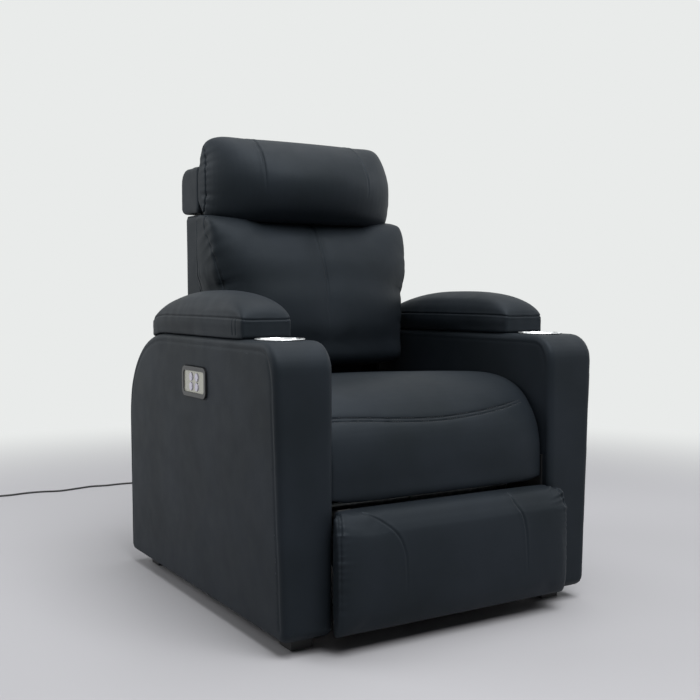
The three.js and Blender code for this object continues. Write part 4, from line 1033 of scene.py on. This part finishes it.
def arm_profile(inset, count=240):
    """The arm seen from the side, drawn in by the inset."""
    def arc(cy, cz, ry, rz, start, stop, steps, power):
        angle = np.radians(np.linspace(start, stop, steps))
        a, b = [np.sign(v) * np.abs(v) ** (2 / power) for v in (np.cos(angle), np.sin(angle))]
        return np.column_stack([cy + (ry - inset) * a, cz + (rz - inset) * b])
    r, reach, rise = ARM_FRONT_RADIUS, ARM_REAR_REACH, ARM_REAR_RISE
    front = arc(FRONT + r, ARM_TOP - r, r, r, 180, 90, 24, 2)
    rear = arc(ARM_REAR - reach, ARM_TOP - rise, reach, rise, 90, 0, 60, ARM_REAR_POWER)
    foot = [(ARM_REAR - inset, ARM_BOTTOM + ARM_EDGE), (ARM_REAR - ARM_EDGE, ARM_BOTTOM + inset),
            (FRONT + ARM_EDGE, ARM_BOTTOM + inset), (FRONT + inset, ARM_BOTTOM + ARM_EDGE)]
    return evenly(np.vstack([front, rear, foot]), count, closed=True)


def arm_top_at(y):
    share = np.clip((y - (ARM_REAR - ARM_REAR_REACH)) / ARM_REAR_REACH, 0, 1)
    return ARM_TOP - ARM_REAR_RISE * (1 - (1 - share ** ARM_REAR_POWER) ** (1 / ARM_REAR_POWER))


def arm_cover():
    """The right arm: foam and leather over a wooden box, with the side panels slightly crowned."""
    edge = [(ARM_EDGE * (1 - math.sin(a)), ARM_EDGE * (1 - math.cos(a)))
            for a in np.linspace(0, math.pi / 2, 6)]
    inner, outer = [], []
    for inset, depth in edge:
        ring = arm_profile(inset)
        inner.append(np.column_stack([np.full(len(ring), INNER + depth), ring]))
        outer.append(np.column_stack([ARM_OUTER - depth + flare_at(*ring.T), ring]))
    arm = evenly_meshed(loft("arm_cover_right", inner + outer[::-1], LEATHER), 5.5 * MM)
    points, normals = points_of(arm), normals_of(arm)
    y, z, facing = points[:, 1], points[:, 2], np.abs(normals[:, 0])
    # The panels and the rounding beside them go exactly on their shape, or the light shows ripples
    rim = tree_of([(a, b, 0) for a, b in arm_profile(0, 1600)])
    short = np.clip(ARM_EDGE - np.array([rim.find((a, b, 0))[2] for a, b in zip(y, z)]), 0, ARM_EDGE)
    drop = ARM_EDGE - np.sqrt(ARM_EDGE ** 2 - short ** 2)
    panel = np.where(normals[:, 0] > 0, ARM_OUTER + flare_at(y, z) - drop, INNER + drop)
    on_panel = (facing > 0.75) & (np.abs(points[:, 0] - panel) < 3 * MM)
    points[on_panel, 0] = panel[on_panel]
    room = np.minimum.reduce([y - FRONT, ARM_REAR - y, z - ARM_BOTTOM, arm_top_at(y) - z])
    crown = PANEL_CROWN * (1 - np.exp(-np.clip(room, 0, None) / 0.05))
    outside = points[:, 0] > (INNER + ARM_OUTER) / 2
    slack = np.array([noise.noise((p[1] * 6, p[2] * 6, 3.0 + p[0])) for p in points]) * 0.7 * MM
    points += normals * ((np.where(outside, crown, 0) + slack) * (facing > 0.8))[:, None]
    put_points(arm, points)
    return arm


def cut_away(obj, tool):
    cut = obj.modifiers.new("cut", "BOOLEAN")
    cut.operation, cut.object, cut.solver = "DIFFERENCE", tool, "EXACT"
    baked(obj)
    bpy.data.objects.remove(tool)


def plug(name, points):
    """A straight-sided body between two equal rings, to cut a hole with."""
    n = len(points) // 2
    return piece(name, points, strips(n, 2) + [list(range(n))[::-1], list(range(n, 2 * n))], LEATHER)


def cup_well(side):
    """The hole in the arm under the rim of the cup holder."""
    centre = (CUP_LOW + CUP_HIGH) / 2 * [side, 1, 1]
    radius = (CUP_HIGH[0] - CUP_LOW[0]) / 2 - 5.5 * MM
    ring = [(centre[0] + radius * math.cos(a), centre[1] + radius * math.sin(a))
            for a in np.linspace(0, 2 * math.pi, 65)[:-1]]
    ends = CUP_LOW[2] - MM, CUP_HIGH[2] + 20 * MM
    return plug("cup_well", [(x, y, z) for z in ends for x, y in ring])


def switch_pocket():
    """The hole in the left arm that the switch's bezel sits in."""
    radius = 15 * MM
    _, half_y, half_z = (BEZEL_HIGH - BEZEL_LOW) / 2 + 0.2 * MM - radius
    _, y, z = (BEZEL_LOW + BEZEL_HIGH) / 2
    ring = []
    for quarter, (sy, sz) in enumerate([(1, 1), (-1, 1), (-1, -1), (1, -1)]):
        for angle in (quarter + np.arange(9) / 8) * math.pi / 2:
            ring.append((y + sy * half_y + radius * math.cos(angle),
                         z + sz * half_z + radius * math.sin(angle)))
    ends = BEZEL_LOW[0] - 20 * MM, BEZEL_HIGH[0] + MM
    return plug("switch_pocket", [(x, y, z) for x in ends for y, z in ring])


def arm_seams(arm):
    """The panels' seams run 18 mm in from the edge, on both faces of the arm."""
    profile = arm_profile(18 * MM, 200)
    keep = [p for p in profile if p[1] > ARM_BOTTOM + 24 * MM]
    start = min(range(len(keep)), key=lambda i: (keep[i][0] > FRONT + 0.1, keep[i][1]))
    keep = keep[start:] + keep[:start]
    keep = keep if keep[0][1] < keep[3][1] else [keep[0]] + keep[:0:-1]
    faces = [lambda y, z: INNER, lambda y, z: ARM_OUTER + flare_at(y, z)]
    return [sewn(arm, [(face(y, z), y, z) for y, z in keep[::4]]) for face in faces]


def arms():
    right = arm_cover()
    lines = arm_seams(right)
    refined(right, lines, 8 * MM)
    for depth, line in zip((0.4, 1.3), lines):
        pressed(right, line, depth=depth, width=3.4, pucker=0.25, pitch=60, reach=26, seed=depth + 2)
    left = mirrored(right, "arm_cover_left")
    for arm, side, name in ((right, 1, "arm_right"), (left, -1, "arm_left")):
        cut_away(arm, cup_well(side))
        if side < 0:
            cut_away(arm, switch_pocket())
        settle(arm, "base", name, fill=0.9)


arms()

# Armrest pads


def pad_cover():
    """The right pad: a boxing band up to a seam, and a crown over it that falls gently to the rear."""
    middle, half_length = (PAD_LOW[1] + PAD_HIGH[1]) / 2, (PAD_HIGH[1] - PAD_LOW[1]) / 2
    seam_rise, crown_rise, over = 42 * MM, 99 * MM, 2 * MM
    rings, seam = [], []
    for share in stations(120):
        fullness = full_at(share * NEARLY_CLOSED, squareness=7)
        y = middle + share * half_length
        outer = ARM_OUTER + flare_at(y, ARM_TOP)
        centre, half = (INNER + outer) / 2, (outer - INNER) / 2 + over
        rise = seam_rise * (0.8 + 0.2 * fullness)
        fall, nose = (4, 0.5) if share < 0 else (2.2, 0.8)
        crown = rise + (crown_rise - seam_rise) * (1 - abs(share) ** fall) ** nose + 0.3 * MM
        wide = half * (0.6 + 0.4 * fullness)
        side = [(a * wide, rise * b) for a, b in [(0.93, 0), (0.99, 0.4), (1, 0.75), (0.97, 1)]]
        side += [(a * wide, rise + (crown - rise) * b)
                 for a, b in [(0.94, 0.42), (0.78, 0.74), (0.45, 0.94)]]
        places = [(-a, b) for a, b in side] + [(0, crown), *side[::-1]]
        places += [(half / 2, 0), (0, 0), (-half / 2, 0)]
        bottom = arm_top_at(y) + 0.3 * MM
        ring = outline(places, 90)
        rings.append(np.column_stack([centre + ring[:, 0], np.full(len(ring), y),
                                      bottom + np.maximum(0, ring[:, 1])]))
        seam.append([(centre + across * wide, y, bottom + rise) for across in (-0.97, 0.97)])
    return loft("armrest_pad_cover_right", rings, LEATHER), np.array(seam)


def armrest_pads():
    pad, seam = pad_cover()
    evenly_meshed(pad, 4.5 * MM)

    def held(p):
        return np.where(p[:, 2] < arm_top_at(p[:, 1]) + 5 * MM, 1.0, 0.0)
    plumped(pad, held, inset=3 * MM, cap=5 * MM)
    rounded(pad)
    inner, outer = seam[8:-8:3].swapaxes(0, 1)
    start, stop = seam[2] - [0, 3 * MM, 0]
    front = [start + (stop - start) * share for share in (0.12, 0.5, 0.88)]
    band = sewn(pad, [*inner[::-1], *front, *outer])
    x, y, z = PAD_HIGH[0], PAD_LOW[1], ARM_TOP
    corners = [sewn(pad, [(x, y + back, z + 40 * MM), (x + MM, y + back, z + 25 * MM),
                          (x, y + back, z + 8 * MM)]) for back in (38 * MM, 24 * MM)]
    refined(pad, [band, *corners], 7 * MM)
    pressed(pad, band, depth=1.5, width=1.7, puff=0.4, pucker=0.35, pitch=24, reach=10, seed=7)
    pressed_in_turn(pad, corners, depth=1.3, width=1.8)
    left = mirrored(pad, "armrest_pad_cover_left")
    settle(pad, "base", "armrest_pad_right", fill=0.9)
    settle(left, "base", "armrest_pad_left", fill=0.9)


armrest_pads()

# Floor, light and background

WALL_WHITE = "#e9ebea"
FLOOR_GREY = "#bdbdc1"
FLOOR_NEAR, FLOOR_FAR = 1.5, 3.2


def seen_by(tree, *rays):
    """1 for the named kinds of ray."""
    path = add(tree, "LightPath").outputs
    shown = path[rays[0]]
    for ray in rays[1:]:
        shown = add(tree, "Math", links={0: shown, 1: path[ray]}, operation="MAXIMUM")
    return shown


def floor():
    """A plain pale floor that the eye and reflections see fade into the background."""
    rings, count = [0.5, 1, 1.5, 2, 3, 4, 6, 10, 16], 48
    points = [(0, 0, 0)] + [(r * math.cos(a), r * math.sin(a), 0) for r in rings
                            for a in np.linspace(0, 2 * math.pi, count + 1)[:-1]]
    faces = [[0, 1 + i, 1 + (i + 1) % count] for i in range(count)]
    faces += [[1 + v for v in face[::-1]] for face in strips(count, len(rings))]
    grey = Finish("pale_floor", FLOOR_GREY, 0.6, Specular_IOR_Level=0.2)
    tree = grey.tree
    distance = add(tree, "VectorMath", links={0: grey.place}, operation="LENGTH")
    fade = add(tree, "MapRange", links={"Value": distance.outputs["Value"]},
               From_Min=FLOOR_NEAR, From_Max=FLOOR_FAR, interpolation_type="SMOOTHSTEP")
    pale = add(tree, "Emission", Color=linear(WALL_WHITE), Strength=1.0)
    share = add(tree, "Math", operation="MULTIPLY",
                links={0: seen_by(tree, "Is Camera Ray", "Is Glossy Ray"), 1: fade})
    mixed = add(tree, "MixShader", links={"Fac": share, 1: grey.skin, 2: pale})
    tree.links.new(mixed.outputs[0], grey.output.inputs["Surface"])
    piece("floor", points, faces, grey.material, smooth=False)


floor()


def lamp(name, place, aim, width, height, power):
    light = bpy.data.lights.new(name, "AREA")
    light.shape, light.size, light.size_y, light.energy = "RECTANGLE", width, height, power
    obj = bpy.data.objects.new(name, light)
    scene.collection.objects.link(obj)
    obj.location = place
    obj.rotation_euler = (Vector(aim) - Vector(place)).to_track_quat("-Z", "Y").to_euler()


lamp("ceiling_panel_over", (0.1, 0.2, 5.2), aim=(0.1, 0.2, 0), width=4.5, height=4.0, power=120)
lamp("ceiling_panel_front", (0.2, -2.5, 4.5), aim=(0, 0.1, 0.5), width=3.0, height=3.0, power=178)
lamp("window_left", (-3.2, 2.2, 2.6), aim=(0, 0.3, 0.5), width=2.0, height=1.8, power=62)
lamp("window_right", (3.6, -0.5, 2.2), aim=(0, 0.1, 0.5), width=2.0, height=1.8, power=18)

scene.world = bpy.data.worlds.new("studio")
scene.world.use_nodes = True
sky = scene.world.node_tree
sky.nodes.clear()
lit = add(sky, "Background", Color=linear("#ffffff"), Strength=0.02)
pale = add(sky, "Background", Color=linear(WALL_WHITE), Strength=1.0)
shown = seen_by(sky, "Is Camera Ray", "Is Glossy Ray", "Is Transmission Ray")
mixed = add(sky, "MixShader", links={"Fac": shown, 1: lit, 2: pale})
add(sky, "OutputWorld", links={"Surface": mixed})
